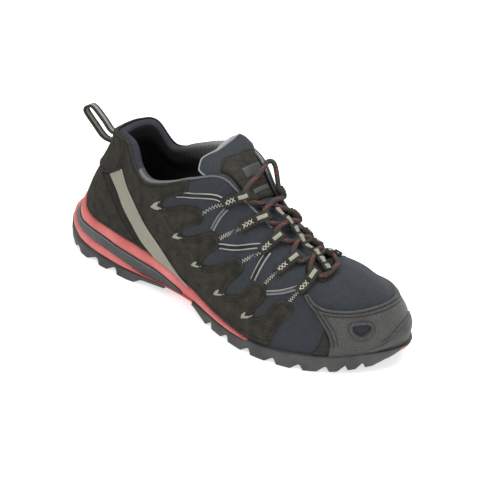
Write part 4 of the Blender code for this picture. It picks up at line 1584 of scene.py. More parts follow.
# Outlines of the outer side's overlays, where a spot given twice is a corner:
# section, share of the height
TOE_CAP_OUTLINE = (
    (11.8, 0.0), (11.8, 0.0), (11.83, 0.09), (11.75, 0.195), (11.58, 0.3), (11.42, 0.395), (11.22, 0.47),
    (11.08, 0.545), (11.08, 0.545), (11.3, 0.565), (11.3, 0.565), (11.4, 0.505), (11.56, 0.455),
    (11.8, 0.422), (12.1, 0.402), (12.73, 0.384), (13.58, 0.395), (14.23, 0.405), (15.0, 0.405), (15.9, 0.43),
    (16.6, 0.46), (16.6, 0.46), (16.45, 0.3), (16.3, 0.15), (16.25, 0.03), (16.25, 0.03), (15.8, 0.1),
    (15.2, 0.15), (14.6, 0.15), (14.0, 0.11), (13.6, 0.05), (13.0, 0.0), (12.4, 0.0),
)
TOE_CAP_HOLE = (
    (12.5, 0.232), (12.72, 0.24), (12.98, 0.226), (12.94, 0.188), (12.68, 0.148), (12.53, 0.182),
)
QUARTER_OUTLINE = (
    (0.03, 0.01), (0.03, 0.01), (2.0, 0.01), (5.0, 0.01), (8.0, 0.01), (9.8, 0.01), (9.8, 0.01),
    (10.03, 0.14), (10.35, 0.255), (10.6, 0.33), (10.7, 0.395), (10.6, 0.43), (10.38, 0.445),
    (10.12, 0.42), (9.88, 0.35), (9.65, 0.255), (9.15, 0.2),
    (9.28, 0.275), (9.5, 0.34), (9.65, 0.405), (9.65, 0.465), (9.5, 0.5), (9.28, 0.5),
    (9.08, 0.47), (8.88, 0.4), (8.53, 0.31), (7.83, 0.23),
    (8.03, 0.32), (8.33, 0.4), (8.58, 0.47), (8.65, 0.515), (8.55, 0.55), (8.33, 0.55),
    (8.08, 0.525), (7.83, 0.47), (7.35, 0.375), (6.6, 0.3),
    (6.78, 0.37), (7.1, 0.43), (7.4, 0.495), (7.43, 0.53), (7.33, 0.56), (7.15, 0.57),
    (6.85, 0.545), (6.35, 0.495), (5.74, 0.455),
    (5.85, 0.515), (6.15, 0.555), (6.5, 0.58), (6.62, 0.615), (6.62, 0.655), (6.5, 0.69),
    (6.23, 0.715), (5.68, 0.72), (5.03, 0.7), (5.0, 0.765), (5.3, 0.81), (5.65, 0.825),
    (5.95, 0.83), (5.95, 0.83), (5.95, 0.895), (5.9, 0.972), (5.9, 0.972),
    (4.5, 0.972), (3.6, 0.975), (3.0, 0.993), (1.5, 0.993), (0.03, 0.993), (0.03, 0.993),
)
HEEL_STRIP_OUTLINE = (
    (1.93, 0.56), (1.93, 0.56), (2.6, 0.537), (3.08, 0.463), (3.65, 0.319), (4.1, 0.131), (4.5, 0.03),
    (4.65, 0.01), (4.65, 0.01), (5.95, 0.01), (5.95, 0.01), (5.48, 0.045), (4.95, 0.18),
    (4.42, 0.355), (3.78, 0.575), (3.08, 0.681), (2.3, 0.73), (2.3, 0.73),
)
TOE_WEDGE_OUTLINE = (
    (11.68, 0.22), (11.68, 0.22), (11.84, 0.1), (11.82, 0.0), (11.82, 0.0), (11.28, 0.0), (11.28, 0.0),
    (11.42, 0.045), (11.57, 0.125),
)
HEEL_TAB_OUTLINE = (
    (-1.7, 0.98), (-1.7, 0.98), (0.0, 0.98), (1.7, 0.98), (1.7, 0.98), (1.9, 0.86), (2.2, 0.76),
    (2.22, 0.69), (2.08, 0.63), (1.83, 0.545), (1.3, 0.465), (0.7, 0.435), (0.0, 0.425), (-0.7, 0.435),
    (-1.3, 0.465), (-1.83, 0.545), (-2.08, 0.63), (-2.22, 0.69), (-2.2, 0.76), (-1.9, 0.86),
)
THROAT_TRIM_OUTLINE = (
    (11.2, 0.76), (11.68, 0.735), (11.93, 0.712), (12.38, 0.742), (13.0, 0.83), (13.6, 0.9), (14.3, 0.94),
    (15.5, 0.945), (16.8, 0.94), (16.9, 0.975), (14.0, 0.985), (11.5, 0.975), (11.1, 0.9),
)
CHANNEL_OUTLINE = (
    (1.6, 0.48), (1.6, 0.48), (2.15, 0.469), (2.85, 0.394), (3.4, 0.244), (3.8, 0.125), (4.0, 0.03),
    (4.0, 0.03), (4.5, 0.03), (4.5, 0.03), (4.35, 0.06), (4.1, 0.131), (3.65, 0.319), (3.08, 0.463),
    (2.6, 0.537), (1.93, 0.56), (1.93, 0.56),
)
# Beige darts at the roots of the suede's fingers: point, upper prong, notch, lower prong
DARTS = (
    ((4.48, 0.69), (4.98, 0.775), (4.82, 0.722), (5.05, 0.69)),
    ((5.38, 0.413), (5.7, 0.488), (5.59, 0.45), (5.83, 0.448)),
    ((6.1, 0.244), (6.45, 0.319), (6.35, 0.279), (6.65, 0.298)),
    ((7.25, 0.156), (7.62, 0.244), (7.52, 0.2), (7.9, 0.24)),
    ((8.7, 0.144), (8.93, 0.225), (8.88, 0.185), (9.22, 0.222)),
)


class StrutLook(Enum):
    """Looks of a welded strut, each its profile: across, height, finish of the side that follows."""

    CHANNEL = ((-2.2, 0, 0), (2.2, 0, 0), (2.2, 0.5, 0), (1.9, 1.1, 0), (1.3, 1.1, 1), (1.1, 0.4, 2),
               (-1.1, 0.4, 1), (-1.3, 1.1, 0), (-1.9, 1.1, 0), (-2.2, 0.5, 0))
    RIBBON = ((-1.8, 0, 0), (1.8, 0, 0), (1.8, 0.5, 1), (1.4, 0.9, 1), (0.35, 0.8, 2), (0, 0.5, 2),
              (-0.35, 0.8, 1), (-1.4, 0.9, 0), (-1.8, 0.5, 0))


# Welded struts between fingers and lace loops: one end, the middle, the other end, look
STRUTS = (
    ((5.58, 0.825), (6.6, 0.793), (7.22, 0.808), StrutLook.CHANNEL),
    ((7.5, 0.788), (7.28, 0.685), (7.05, 0.575), StrutLook.RIBBON),
    ((7.45, 0.513), (8.3, 0.622), (9.1, 0.768), StrutLook.CHANNEL),
    ((9.45, 0.775), (9.27, 0.63), (9.08, 0.483), StrutLook.CHANNEL),
    ((9.62, 0.438), (10.25, 0.512), (10.85, 0.606), StrutLook.RIBBON),
)
PINHOLES = np.array(((4.85, 0.5), (5.53, 0.256), (6.48, 0.131)))


@dataclass
class Overlays(Assembly):
    """Suede quarters, toe cap, heel strips and the small trim sewn or welded on the upper."""

    suede_face: float = 1.95
    tab_rise: float = 1.6
    seam_rows: tuple[float, ...] = (1.9, 3.4)
    seam_foot: float = 0.05
    seam_break: float = 4.0
    least_run: int = 5
    pinhole: float = 1.5
    piping_width: float = 1.2
    bead: Spot = (1.0, 0.9)
    # Spots of the strip's front edge, and of the channel's two long edges, in their outlines
    strip_front: tuple[int, int] = (10, 17)
    channel_edges: tuple[tuple[int, int], ...] = ((1, 7), (9, 16))

    def seams(self, surface: Surface, outline: Sequence[Spot], lift: float,
              rows: Sequence[float]) -> list[Shape]:
        """Rows of stitches inside a panel's edge.

        Args:
            surface: what is stitched.
            outline: given spots round the panel.
            lift: height of the panel's face.
            rows: how far inside the edge each row runs.

        Returns:
            The runs of stitches.
        """
        loop = outline_curve(outline, 1.4)
        runs = []
        for distance in rows:
            line = inset_line(loop, distance)
            line = line[line[:, 1] > self.seam_foot * FLAT[1]]
            steps = np.linalg.norm(np.diff(line, axis=0), axis=1)
            parts = np.split(line, np.flatnonzero(steps > self.seam_break) + 1)
            runs += [stitch_run(surface, part / FLAT, lift) for part in parts if len(part) >= self.least_run]
        return runs

    def strut(self, side: Side, spots: Sequence[Spot], look: StrutLook) -> Shape:
        """A welded strut through three spots."""
        rows = np.array(look.value)
        line = through(spots, 8)
        return laid_on(side.skin, line, 0.1, rows[:, :2], rows[:, 2].astype(int))

    def dart(self, side: Side, corners: Sequence[Spot]) -> Shape:
        """A beige dart: a point with a forked tail.

        Args:
            side: side of the shoe.
            corners: its point, upper prong, notch and lower prong.

        Returns:
            The dart, on top of the suede.
        """
        point, upper, notch, lower = (np.array(corner) for corner in corners)
        bow = 0.25 * (upper - lower)
        outline = (point, point, (point + upper) / 2 + bow, upper, upper, notch, notch, lower, lower,
                   (point + lower) / 2 - bow)
        return panel(side.skin, outline, THIN, low=1.5, pitch=1.2)

    def heel_strip(self, side: Side) -> Shape:
        """The slanting strip, its pale piping and the dark channel behind it.

        Args:
            side: side of the shoe.

        Returns:
            All of it, the channel with its beaded edges.
        """
        face = panel(side.skin, HEEL_STRIP_OUTLINE, THIN, low=self.suede_face - 0.1, pitch=2.4)
        front = through(HEEL_STRIP_OUTLINE[slice(*self.strip_front)], 8)
        round_cord = oval(self.piping_width, self.piping_width, 8)
        piping = laid_on(side.skin, front, self.suede_face + 0.7, round_cord).marked(1)
        channel = panel(side.skin, CHANNEL_OUTLINE, THIN, low=self.suede_face - 0.3, pitch=2.4)
        shapes = [face, piping, channel.marked(2)]
        for span in self.channel_edges:
            line = through(CHANNEL_OUTLINE[slice(*span)], 8)
            shapes.append(laid_on(side.skin, line, self.suede_face + 0.5, oval(*self.bead, 8)).marked(2))
        return Shape.joined(shapes)

    def pinholes(self, side: Side) -> Shape:
        """Small dark holes punched in the suede."""
        points, _, up = on_surface(side.skin, PINHOLES, self.suede_face)
        half = 0.25 * self.pinhole * np.array((1.0, 0.0, 0.0))
        return strokes(points - half, points + half, up, self.pinhole)

    def build_side(self, side: Side) -> None:
        """Make one side's overlays.

        Args:
            side: side of the shoe.
        """
        name = side.value
        self.shop.dress("quarter_" + name, panel(side.skin, QUARTER_OUTLINE, ROLLED), SUEDE)
        self.shop.add("toe_wedge_" + name, panel(side.skin, TOE_WEDGE_OUTLINE, ROLLED), SUEDE)
        self.shop.dress("heel_strip_" + name, self.heel_strip(side), STRIP, PIPING, GUTTER)
        self.shop.add("darts_" + name, Shape.joined([self.dart(side, row) for row in DARTS]), BEIGE)
        struts = [self.strut(side, spots, look) for *spots, look in STRUTS]
        self.shop.add("struts_" + name, Shape.joined(struts), PIPING, FILM_AND_HIGHLIGHT, CHANNEL)
        self.shop.add("pinholes_" + name, self.pinholes(side), CHANNEL)

    def build(self) -> None:
        """Make every overlay."""
        cap = panel(LAST.skin, TOE_CAP_OUTLINE, TWIN_RIDGE, [TOE_CAP_HOLE], HOLE_RIM, pitch=2.2,
                    plain_below=0.08)
        self.shop.dress("toe_cap", cap, CAP)
        self.shop.add("throat_trim", panel(LAST.skin, THROAT_TRIM_OUTLINE, ROLLED), GUTTER)
        stitches = self.seams(LAST.skin, THROAT_TRIM_OUTLINE, self.suede_face, self.seam_rows)
        tab_face = self.suede_face + self.tab_rise
        stitches += self.seams(LAST.skin, HEEL_TAB_OUTLINE, tab_face, self.seam_rows[:1])
        for side in Side:
            self.build_side(side)
            stitches += self.seams(side.skin, QUARTER_OUTLINE, self.suede_face, self.seam_rows)
        self.shop.add("heel_tab", panel(LAST.skin, HEEL_TAB_OUTLINE, ROLLED, low=self.tab_rise), SUEDE)
        self.shop.add("suede_stitching", Shape.joined(stitches), DARK_THREAD)


# Tongue

@dataclass
class Tongue(Assembly):
    """Padded tongue under the throat, with its patch, bare tabs and piping."""

    drop: float = 3.4
    crown: float = 1.5
    middle_y: float = 2.5
    columns: int = 9
    rows: int = 8
    steps: int = 6
    thickness: tuple[float, float] = (4.0, 8.0)
    # sections_back, spread (1 reaches the throat's edges)
    spread: tuple[Spot, ...] = ((0.8, 1.08), (3, 1.18), (5, 1.1), (6.2, 0.9), (7, 0.88))
    # tip_x, tip_z, half_width, tilt (how much higher its inner edge stands than its middle)
    tip: tuple[tuple[float, ...], ...] = (
        (142, 117, 21, 3.5), (136, 119, 22.5, 4.2), (131, 120.5, 22.5, 4.6), (127.5, 121.5, 21, 4.8))
    piped_from: float = 0.76
    piping_width: float = 1.3
    # share of the way across the tip, swell of the piping
    piping_swell: tuple[Spot, ...] = ((0, 1.0), (0.4, 1.1), (0.62, 2.9), (0.88, 2.6), (1, 0.8))
    label_low: float = 1.9
    seam_inset: float = 1.9
    patch_face: float = 1.95
    droop: float = 4.0
    outer_reach: float = 3.0
    outer_lead: float = 4.5
    # Flat millimetres back from the tip, then across from the middle
    patch: tuple[Spot, ...] = (
        (15, -17), (15, -17), (10, -8), (13, 5), (14.5, 18.5), (14.5, 18.5), (25, 18), (40, 15), (52, 13),
        (52, 13), (52, -13), (52, -13), (35, -16), (25, -18))
    label: tuple[Spot, ...] = (
        (25, -4), (25, -4), (24.5, 16.5), (24.5, 16.5), (33, 15.5), (33, 15.5), (33.5, -4.5), (33.5, -4.5))
    tab: tuple[Spot, ...] = (
        (43, -6.5), (43, -6.5), (42, 11.5), (42, 11.5), (46, 11.5), (46, 11.5), (47, -7), (47, -7))

    def __post_init__(self) -> None:
        """Work out the upper face once."""
        backs = np.linspace(self.spread[0][0], self.spread[-1][0], self.rows)
        rows = [self.throat_line(back, looked_up(self.spread, back)) for back in backs]
        across = np.linspace(-1, 1, self.columns)
        corner = np.clip(1 - np.abs(across + 0.68) / 0.4, 0, 1)
        for number, (x, z, half_width, tilt) in enumerate(self.tip):
            droop = self.droop * np.clip((-across - 0.55) / 0.45, 0, 1) ** 2
            height = z + tilt * across + self.crown * (1 - across**2) - droop
            level = x - self.outer_lead * corner * number / (len(self.tip) - 1)
            reach = across * (half_width + self.outer_reach * (across < 0))
            rows.append(np.stack([level, self.middle_y + reach, height], 1))
        face = through(rows, self.steps)
        self.face = through(face.swapaxes(0, 1), self.steps).swapaxes(0, 1)
        normal = np.cross(np.gradient(self.face, axis=1), np.gradient(self.face, axis=0))
        self.up = unit(normal * np.where(normal[..., 2:] < 0, -1, 1))
        middle = self.face[:, self.face.shape[1] // 2]
        self.from_tip = lengths_along(middle[::-1])[::-1]

    def throat_line(self, back: float, spread: float) -> Array:
        """Points across the throat, under its edges.

        Args:
            back: sections back from the throat's front end.
            spread: how far across, 1 at the throat's edges.

        Returns:
            A row of points.
        """
        across = np.linspace(-spread, spread, self.columns)
        beyond = np.maximum(np.abs(across) - 1, 0)
        outer = LAST.skin(TOE - back, 1 - beyond, -self.drop)
        inner = LAST.skin(TOE + back, 1 - beyond, -self.drop)
        mix = np.clip((across + 1) / 2, 0, 1)[:, None]
        line = outer * (1 - mix) + inner * mix
        line[:, 2] += self.crown * np.clip(1 - across**2, 0, 1)
        return line

    def surface(self, first: Array, second: Array, lift: Array) -> Array:
        """Points over the tongue.

        Args:
            first: distance back from the tip, in flat units.
            second: distance across from the middle, in flat units.
            lift: heights above the face.

        Returns:
            The points.
        """
        rows, columns = self.face.shape[:2]
        row = np.interp(first * FLAT[0], self.from_tip[::-1], np.arange(rows)[::-1])
        low = np.clip(np.floor(row).astype(int), 0, rows - 2)
        share = (row - low)[:, None]

        def read(values: Array, line: Array) -> Array:
            """Values on rows of the face at the distances across."""
            reach = self.face[line, :, 1] - self.face[line, columns // 2, 1][:, None]
            at = second * FLAT[1]
            return np.array([read_along(values[n], reach[k], at[k]) for k, n in enumerate(line)])

        face = read(self.face, low) * (1 - share) + read(self.face, low + 1) * share
        up = read(self.up, low) * (1 - share) + read(self.up, low + 1) * share
        return face + np.asarray(lift)[:, None] * unit(up)

    def body(self) -> Shape:
        """The padded body: textile above, air mesh below and over the tip."""
        rows, columns = self.face.shape[:2]
        share = np.linspace(0, 1, rows)
        thick = np.interp(share, (self.rows / (self.rows + len(self.tip)) - 0.2, 0.95), self.thickness)
        thick = thick * np.sqrt(np.clip(1 - np.clip((share - 0.93) / 0.07, 0, 1) ** 2, 0.04, 1))
        across = np.linspace(-1, 1, columns)
        belly = np.sqrt(np.clip(1 - np.abs(across) ** 6, 0.02, 1))
        depth = thick[:, None] * belly[None]
        lower = self.face - depth[..., None] * self.up
        ring = np.concatenate([self.face, lower[:, ::-1]], 1)
        shape = tube(ring, lengths_along(self.face[:, columns // 2]))
        column = np.tile(np.arange(2 * columns), rows - 1)
        shape.marks = np.append(np.where(column < columns - 1, 0, 1), (0, 1))
        return shape

    def piping(self) -> Shape:
        """Pale piping round the free edge that swells to a roll of mesh at the inner end of the tip."""
        start = int(self.piped_from * len(self.face))
        outer, tip, inner = self.face[start:, 0], self.face[-1, 1:-1], self.face[start:, -1][::-1]
        path = evenly(np.concatenate([outer, tip, inner]), 1.5) + (0.0, 0.0, -0.3)
        across, up = carried(path, UP)
        at = np.linspace(0, len(outer) + len(tip) + len(inner), len(path))
        swell = looked_up(self.piping_swell, (at - len(outer)) / len(tip))
        return sweep(path, across, up, oval(self.piping_width, self.piping_width), swell=swell)

    def build(self) -> None:
        """Make the tongue and what is sewn on it."""
        body = self.shop.dress("tongue", self.body(), TEXTILE, TONGUE_EDGE)
        self.shop.add("tongue_piping", self.piping(), TONGUE_EDGE)
        patch = np.array(self.patch) / FLAT
        self.shop.add("tongue_patch", panel(self.surface, patch, ROLLED, pitch=2.4), SUEDE)
        for name, spots in (("tongue_label", self.label), ("tongue_tab", self.tab)):
            outline = np.array(spots) / FLAT
            self.shop.add(name, panel(self.surface, outline, THIN, low=self.label_low, pitch=1.8), BAND)
        loop = inset_line(outline_curve(patch, 1.4), self.seam_inset) / FLAT
        self.shop.add("tongue_stitching", stitch_run(self.surface, loop, self.patch_face), DARK_THREAD)


# Fastenings

# Lace loops of each side: where each is sewn down, where its end holds the lace and
# where its zigzag tail runs out.
# base_section, base_share, end_section, end_share, tail_section, tail_share
LACE_LOOPS = {
    Side.OUTER: (
        (7.37, 0.79, 7.83, 0.985, 6.55, 0.65),
        (8.23, 0.765, 8.77, 0.985, 7.43, 0.556),
        (9.2, 0.725, 9.55, 0.935, 8.5, 0.537),
        (9.93, 0.66, 10.48, 0.865, 9.55, 0.506),
        (10.87, 0.565, 11.55, 0.77, 10.55, 0.444),
    ),
    Side.INNER: (
        (7.6, 0.79, 8.1, 0.985, 6.8, 0.65),
        (8.65, 0.86, 9.03, 0.985, 8.0, 0.68),
        (9.62, 0.86, 9.9, 0.975, 9.1, 0.68),
        (10.36, 0.87, 10.66, 0.965, 9.9, 0.72),
        (11.85, 0.87, 12.2, 0.955, 11.4, 0.74),
    ),
}


@dataclass
class LaceLoop:
    """One webbing loop: its two plies, the lace's place in its fold and its stitching."""

    side: Side
    row: tuple[float, ...]
    width: float = 7.5
    ply: float = 1.1
    lace_lift: float = 2.7
    lace_reach: float = 2.2
    fold_radius: float = 2.5
    flat_lift: float = 0.8
    steps: int = 16
    # Shares of the way from the fold to the base
    tip_span: Spot = (0.04, 0.4)
    stitch_span: Spot = (0.52, 0.92)
    bar_shares: tuple[float, ...] = (0.46, 0.97)
    tip_width: float = 3.0
    stitch_swing: float = 1.7
    stitch_period: int = 8
    stitch_thread: float = 0.6
    bar_width: float = 1.5
    # The zigzag tail: height, width, pitch, thread
    tail: tuple[float, ...] = (0.4, 2.5, 2.6, 0.38)

    def __post_init__(self) -> None:
        """Work out the loop's line on the upper."""
        line = np.linspace(self.row[0:2], self.row[2:4], self.steps)
        self.line, self.across, self.up = on_surface(self.side.skin, line, 0.0)
        self.length = lengths_along(self.line)
        self.away = unit(self.line[-1] - self.line[0])

    def at(self, distance: float, lift: float) -> Array:
        """Point some way along the loop and above it, also past its end."""
        share = min(distance, self.length[-1])
        point, up = (read_along(rows, self.length, share) for rows in (self.line, self.up))
        return point + (distance - share) * self.away + lift * unit(up)

    def lace_point(self) -> Array:
        """Middle of the lace inside the fold."""
        return self.at(self.length[-1] + self.lace_reach, self.lace_lift)

    def through(self) -> Array:
        """Direction in which the lace passes the fold, towards the toe."""
        across = self.across[-1]
        return across * np.sign(across[0])

    def plies(self) -> tuple[Array, Array]:
        """Middle line of the webbing: under ply and fold, then the upper ply back to the base."""
        end = self.length[-1]
        under = [self.at(s, self.flat_lift) for s in np.linspace(-1.0, end, 6)]
        turn = np.linspace(-math.pi / 2, math.pi / 2, 9)
        centre = end + self.lace_reach
        radius = self.fold_radius
        fold = [self.at(centre + radius * math.cos(a), self.lace_lift + radius * math.sin(a)) for a in turn]
        back = np.linspace(centre, -1.0, 16)[1:]
        ease = eased(np.clip((back / centre - 0.3) / 0.7, 0, 1))
        high = self.lace_lift + radius
        low = self.flat_lift + self.ply
        over = [self.at(s, low + (high - low) * e) for s, e in zip(back, ease)]
        return np.array(under + fold), np.array(over)

    def upright(self, path: Array) -> tuple[Array, Array]:
        """Directions across and out of the webbing along its line."""
        across = np.tile(self.across[len(self.across) // 2], (len(path), 1))
        out = unit(np.cross(across, unit(np.gradient(path, axis=0))))
        return across, out * np.sign(out[-1] @ self.up[0])

    def shape(self) -> Shape:
        """The whole loop with its beige tip, bars, crossed stitching and zigzag tail."""
        under, over = self.plies()
        half = self.ply / 2
        path = evenly(np.concatenate([under, over]), 0.8)
        shapes = [sweep(path, *self.upright(path), tape(self.width, self.ply) - (0, half))]
        top = evenly(np.concatenate([under[-3:], over]), 0.7)
        side, rise = self.upright(top)
        share = lengths_along(top) / lengths_along(top)[-1]

        def within(span: Spot) -> Array:
            """Numbers of the top's points in a span."""
            return np.flatnonzero((share > span[0]) & (share < span[1]))

        tip = within(self.tip_span)
        pale = sweep(top[tip] + half * rise[tip], side[tip], rise[tip], tape(self.tip_width, 0.5))
        shapes.append(pale.marked(1))
        sewn = within(self.stitch_span)
        period = self.stitch_period
        wave = np.interp(np.arange(len(sewn)) % period, (0, period / 2, period), (-1, 1, -1))
        for swing in (self.stitch_swing, -self.stitch_swing):
            thread = top[sewn] + (half + 0.15) * rise[sewn] + swing * wave[:, None] * side[sewn]
            shapes.append(cord(thread, self.stitch_thread, 6, rise[sewn[0]]).marked(2))
        for at in self.bar_shares:
            k = np.abs(share - at).argmin()
            reach = np.linspace(-0.48, 0.48, 7)[:, None] * self.width
            bar = top[k] + reach * side[k] + (half + 0.2) * rise[k]
            shapes.append(cord(bar, self.bar_width, 8, rise[k]))
        shapes.append(zigzag(self.side.skin, self.row[0:2], self.row[4:6], *self.tail).marked(2))
        return Shape.joined(shapes)


@dataclass
class Lacing(Assembly):
    """Lace loops, the one lace that runs through them and its keeper."""

    lace_width: float = 3.9
    through_reach: float = 4.5
    over: float = 3.4
    under: float = -0.2
    keeper_over: float = 4.0
    keeper_sag: float = 1.5
    keeper_sway: float = 1.6
    keeper_width: float = 5.4
    keeper_stripe: float = 2.8
    keeper_link: float = 9.0
    link_swell: float = 0.16
    link_stripe: float = 0.7
    # The bar in front of the throat, from the outer side
    bar: tuple[tuple[float, float, float], ...] = ((244.0, -14.0, 68.6), (243.0, -2.0, 70.6))
    # The strand over the tongue, from the inner side
    top_strand: tuple[tuple[float, float, float], ...] = (
        (163.5, 22.5, 112.5), (159.0, 20.0, 115.0), (161.0, 9.0, 111.5))

    def __post_init__(self) -> None:
        """Set out the loops of both sides."""
        self.loops = {side: [LaceLoop(side, row) for row in LACE_LOOPS[side]] for side in Side}

    def crossings(self) -> Array:
        """Middle of the throat between each row of loops and the next."""
        outer, inner = (np.array([loop.lace_point() for loop in self.loops[side]]) for side in Side)
        return (outer[:-1] + inner[1:] + inner[:-1] + outer[1:]) / 4

    def turn(self, side: Side, number: int, forward: bool) -> list[Array]:
        """Points where the lace goes through a loop.

        Args:
            side: side of the loop.
            number: its number from the top.
            forward: whether the lace runs towards the toe.

        Returns:
            Three points: before, in and after the loop.
        """
        loop = self.loops[side][number]
        step = loop.through() * self.through_reach * (1 if forward else -1)
        middle = loop.lace_point()
        return [middle - step, middle, middle + step]

    def route(self) -> Array:
        """The lace's path from the top inner loop all the way round and home."""
        cross = self.crossings()
        last = len(self.loops[Side.OUTER]) - 1
        sides = (Side.OUTER, Side.INNER)
        path = self.turn(Side.INNER, 0, False) + [np.array(point) for point in self.top_strand]
        for number in range(last + 1):
            path += self.turn(sides[number % 2], number, True)
            if number < last:
                path.append(cross[number] + (self.over if number % 2 else self.under) * UP)
        path += [np.array(point) for point in self.bar]
        for number in range(last, -1, -1):
            path += self.turn(sides[(number + 1) % 2], number, False)
            if number:
                path.append(cross[number - 1] + (self.over if number % 2 else self.under) * UP)
        return np.array(path)

    def keeper(self) -> Shape:
        """Webbing chain over the crossings, dark with a pale middle."""
        cross = self.crossings()
        marks = [0.7 * cross[0] + 0.3 * cross[1] + (0, 0, 1.0)]
        for number, point in enumerate(cross[1:]):
            sway = self.keeper_sway if number % 2 else -self.keeper_sway
            marks.append((point + cross[number]) / 2 + (0, sway, self.keeper_over - self.keeper_sag))
            marks.append(point + (0, 0, self.keeper_over))
        marks.append(np.array(self.bar[0]) + (0.0, 0.5, 2.4))
        path = evenly(through(marks, 8), 1.5)
        along = unit(np.gradient(path, axis=0))
        across = unit(np.cross(along, UP))
        up = np.cross(across, along)
        half, soft, line = self.keeper_width / 2, 0.5, self.keeper_stripe / 2
        profile = np.array((
            (-half + soft, 0), (half - soft, 0), (half, soft), (half - soft, 1.6), (line + 0.1, 1.9),
            (line, 2.3), (-line, 2.3), (-line - 0.1, 1.9), (-half + soft, 1.6), (-half, soft)))
        link = lengths_along(path) / self.keeper_link
        swell = 1 + self.link_swell * np.sin(2 * math.pi * link)
        shape = sweep(path, across, up, profile, marks=(0, 0, 0, 0, 1, 1, 1, 0, 0, 0), swell=swell)
        joint = np.repeat(link[:-1] % 1 > self.link_stripe, len(profile))
        shape.marks[:len(joint)][joint] = 0
        return shape

    def build(self) -> None:
        """Make the loops, the lace and the keeper."""
        for side in Side:
            for number, loop in enumerate(self.loops[side], 1):
                name = f"lace_loop_{side.value}_{number}"
                self.shop.dress(name, loop.shape(), WEBBING, BEIGE, THREAD)
        path = evenly(through(self.route(), 10), 1.0)
        self.shop.dress("lace", cord(path, self.lace_width, 12), LACE)
        self.shop.dress("lace_keeper", self.keeper(), WEBBING, GREY_TAPE)


@dataclass
class PullLoop(Assembly):
    """Webbing loop at the heel, dark with a pale stripe."""

    width: float = 6.8
    stripe: float = 2.5
    thickness: float = 1.8
    lift: float = 3.4
    lean: float = 1.5
    rear: tuple[float, ...] = (0.58, 0.66)
    front: tuple[float, ...] = (0.8, 0.73)
    # Side view of the free part: x, z
    free: tuple[Spot, ...] = (
        (8.0, 92.0), (-2.5, 100.0), (-11.5, 107.5), (-13.0, 110.5), (-10.5, 113.0), (-5.5, 113.2),
        (5.0, 105.5), (13.0, 98.5))

    def build(self) -> None:
        """Make the loop."""
        rear, front = (LAST.skin(0.0, np.array(shares), self.lift) for shares in (self.rear, self.front))
        sway = self.lean * np.clip(np.linspace(-2, 2, len(self.free)), -1, 1)
        free = np.array([(x, y, z) for (x, z), y in zip(self.free, sway)])
        path = evenly(through(np.concatenate([rear, free, front]), 10), 1.2)
        across = np.tile((0.0, 1.0, 0.0), (len(path), 1))
        up = unit(np.cross(across, np.gradient(path, axis=0)))
        half, line, deep = self.width / 2, self.stripe / 2, self.thickness / 2
        profile = np.array((
            (-half, -0.4), (-half + 0.5, -deep), (-line, -deep), (line, -deep), (half - 0.5, -deep),
            (half, -0.4), (half, 0.4), (half - 0.5, deep), (line, deep), (line - 0.3, deep + 0.4),
            (-line + 0.3, deep + 0.4), (-line, deep), (-half + 0.5, deep), (-half, 0.4)))
        marks = (0, 0, 1, 0, 0, 0, 0, 0, 1, 1, 1, 0, 0, 0)
        self.shop.dress("pull_loop", sweep(path, across, up, profile, marks), WEBBING, GREY_TAPE)


@dataclass
class FootBed(Assembly):
    """Loose insole with a shallow heel cup."""

    inset: float = 6.2
    thickness: float = 3.2
    cup: float = 2.2
    rungs: int = 70
    columns: int = 25

    def build(self) -> None:
        """Make the foot bed."""
        places = np.linspace(0, TOE, self.rungs)
        across = np.linspace(-1, 1, self.columns)
        low = LAST.feather(places)[:, None]
        top = low + self.thickness + self.cup * np.abs(across)[None] ** 3
        share = (across + 1)[None, :, None] / 2
        faces = []
        for height in (top, low + 0 * top):
            outer = LAST.sole_edge(places[:, None], -self.inset, height)
            inner = LAST.sole_edge(COUNT - places[:, None], -self.inset, height)
            face = outer * (1 - share) + inner * share
            face[..., 2] = height
            faces.append(face)
        ring = np.concatenate([faces[0], faces[1][:, ::-1]], 1)
        shape = tube(ring, places * FLAT[0], np.arange(2 * self.columns + 1) * 4.0, ends=())
        self.shop.dress("insole", shape, BED)


# Studio

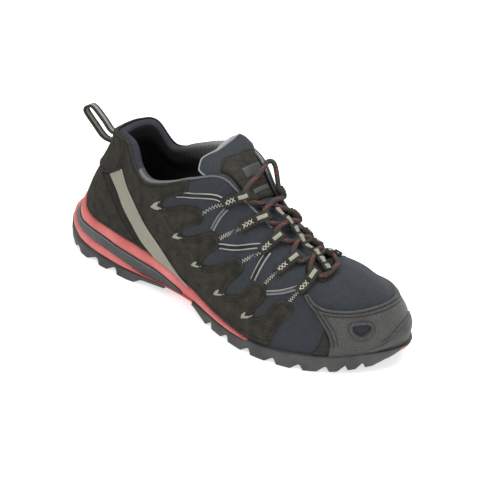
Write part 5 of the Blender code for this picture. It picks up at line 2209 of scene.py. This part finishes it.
@dataclass
class Studio:
    """Camera, pale floor and soft lights."""

    azimuth: float = 39.2
    elevation: float = 31.4
    roll: float = 1.8
    distance: float = 1030.0
    focal_pixels: float = 1339.0
    picture: float = 480.0
    middle: Spot = (239.1, 253.2)
    target: tuple[float, float, float] = (150.0, 0.0, 40.0)
    sensor: float = 36.0
    sky: float = 0.5
    floor_reach: float = 6.0
    floor_grey: float = 0.6
    floor_glow: float = 0.6
    # name, place in metres, width, power
    lights: tuple[tuple, ...] = (
        ("key", (-0.3, -0.9, 1.3), 0.9, 8.0),
        ("fill", (1.2, -0.4, 0.7), 1.0, 6.0),
        ("top", (0.1, 0.5, 1.5), 1.2, 28.0),
        ("low", (0.2, -1.3, 0.22), 0.5, 1.5),
    )

    def camera(self) -> None:
        """Camera at the photograph's angle."""
        azimuth, elevation, roll = np.radians((self.azimuth, self.elevation, self.roll))
        back = np.array((
            math.sin(azimuth) * math.cos(elevation), -math.cos(azimuth) * math.cos(elevation),
            math.sin(elevation)))
        right = np.array((math.cos(azimuth), math.sin(azimuth), 0.0))
        up = np.cross(back, right)
        across = right * math.cos(roll) + up * math.sin(roll)
        upward = -right * math.sin(roll) + up * math.cos(roll)
        place = (np.array(self.target) - FOOTPRINT_MIDDLE + back * self.distance) * MM
        data = bpy.data.cameras.new("camera")
        data.sensor_width = self.sensor
        data.lens = self.focal_pixels / self.picture * self.sensor
        data.shift_x = (self.picture / 2 - self.middle[0]) / self.picture
        data.shift_y = (self.middle[1] - self.picture / 2) / self.picture
        camera = bpy.data.objects.new("camera", data)
        turn = Matrix(np.stack([across, upward, back], 1).tolist()).to_4x4()
        camera.matrix_world = Matrix.Translation(place.tolist()) @ turn
        bpy.context.scene.collection.objects.link(camera)
        bpy.context.scene.camera = camera

    def light(self, name: str, place: Sequence[float], size: float, power: float) -> None:
        """A soft square light that faces the shoe.

        Args:
            name: the light's name.
            place: where it stands, in metres.
            size: side of its square.
            power: its strength in watts.
        """
        data = bpy.data.lights.new(name, "AREA")
        data.size = size
        data.energy = power
        lamp = bpy.data.objects.new(name, data)
        lamp.location = place
        lamp.rotation_euler = Vector(place).to_track_quat("Z", "Y").to_euler()
        bpy.context.scene.collection.objects.link(lamp)

    def floor(self) -> None:
        """A wide pale floor that blends into the background."""
        reach = self.floor_reach
        corners = [(x * reach, y * reach, 0) for x, y in ((-1, -1), (1, -1), (1, 1), (-1, 1))]
        mesh = bpy.data.meshes.new("floor")
        mesh.from_pydata(corners, [], [(0, 1, 2, 3)])
        material = bpy.data.materials.new("pale_floor")
        material.use_nodes = True
        shader = material.node_tree.nodes["Principled BSDF"]
        shader.inputs["Base Color"].default_value = (*[self.floor_grey] * 3, 1.0)
        shader.inputs["Roughness"].default_value = 0.9
        shader.inputs["Emission Color"].default_value = (1.0, 1.0, 1.0, 1.0)
        shader.inputs["Emission Strength"].default_value = self.floor_glow
        mesh.materials.append(material)
        floor = bpy.data.objects.new("floor", mesh)
        bpy.context.scene.collection.objects.link(floor)

    def build(self) -> None:
        """Set up the studio."""
        self.camera()
        self.floor()
        world = bpy.data.worlds.new("studio")
        world.use_nodes = True
        sky = world.node_tree.nodes["Background"]
        sky.inputs["Color"].default_value = (1.0, 1.0, 1.0, 1.0)
        sky.inputs["Strength"].default_value = self.sky
        bpy.context.scene.world = world
        bpy.context.scene.view_settings.view_transform = "Standard"
        for row in self.lights:
            self.light(*row)


def main() -> None:
    """Build the shoe piece by piece, then the studio."""
    logging.basicConfig(level=logging.INFO, format="%(name)s: %(message)s")
    shop = Workshop()
    Studio().build()
    for assembly in (Sole, Upper, Overlays, FootBed, Tongue, Lacing, PullLoop):
        assembly(shop).build()


if __name__ == "__main__":
    main()
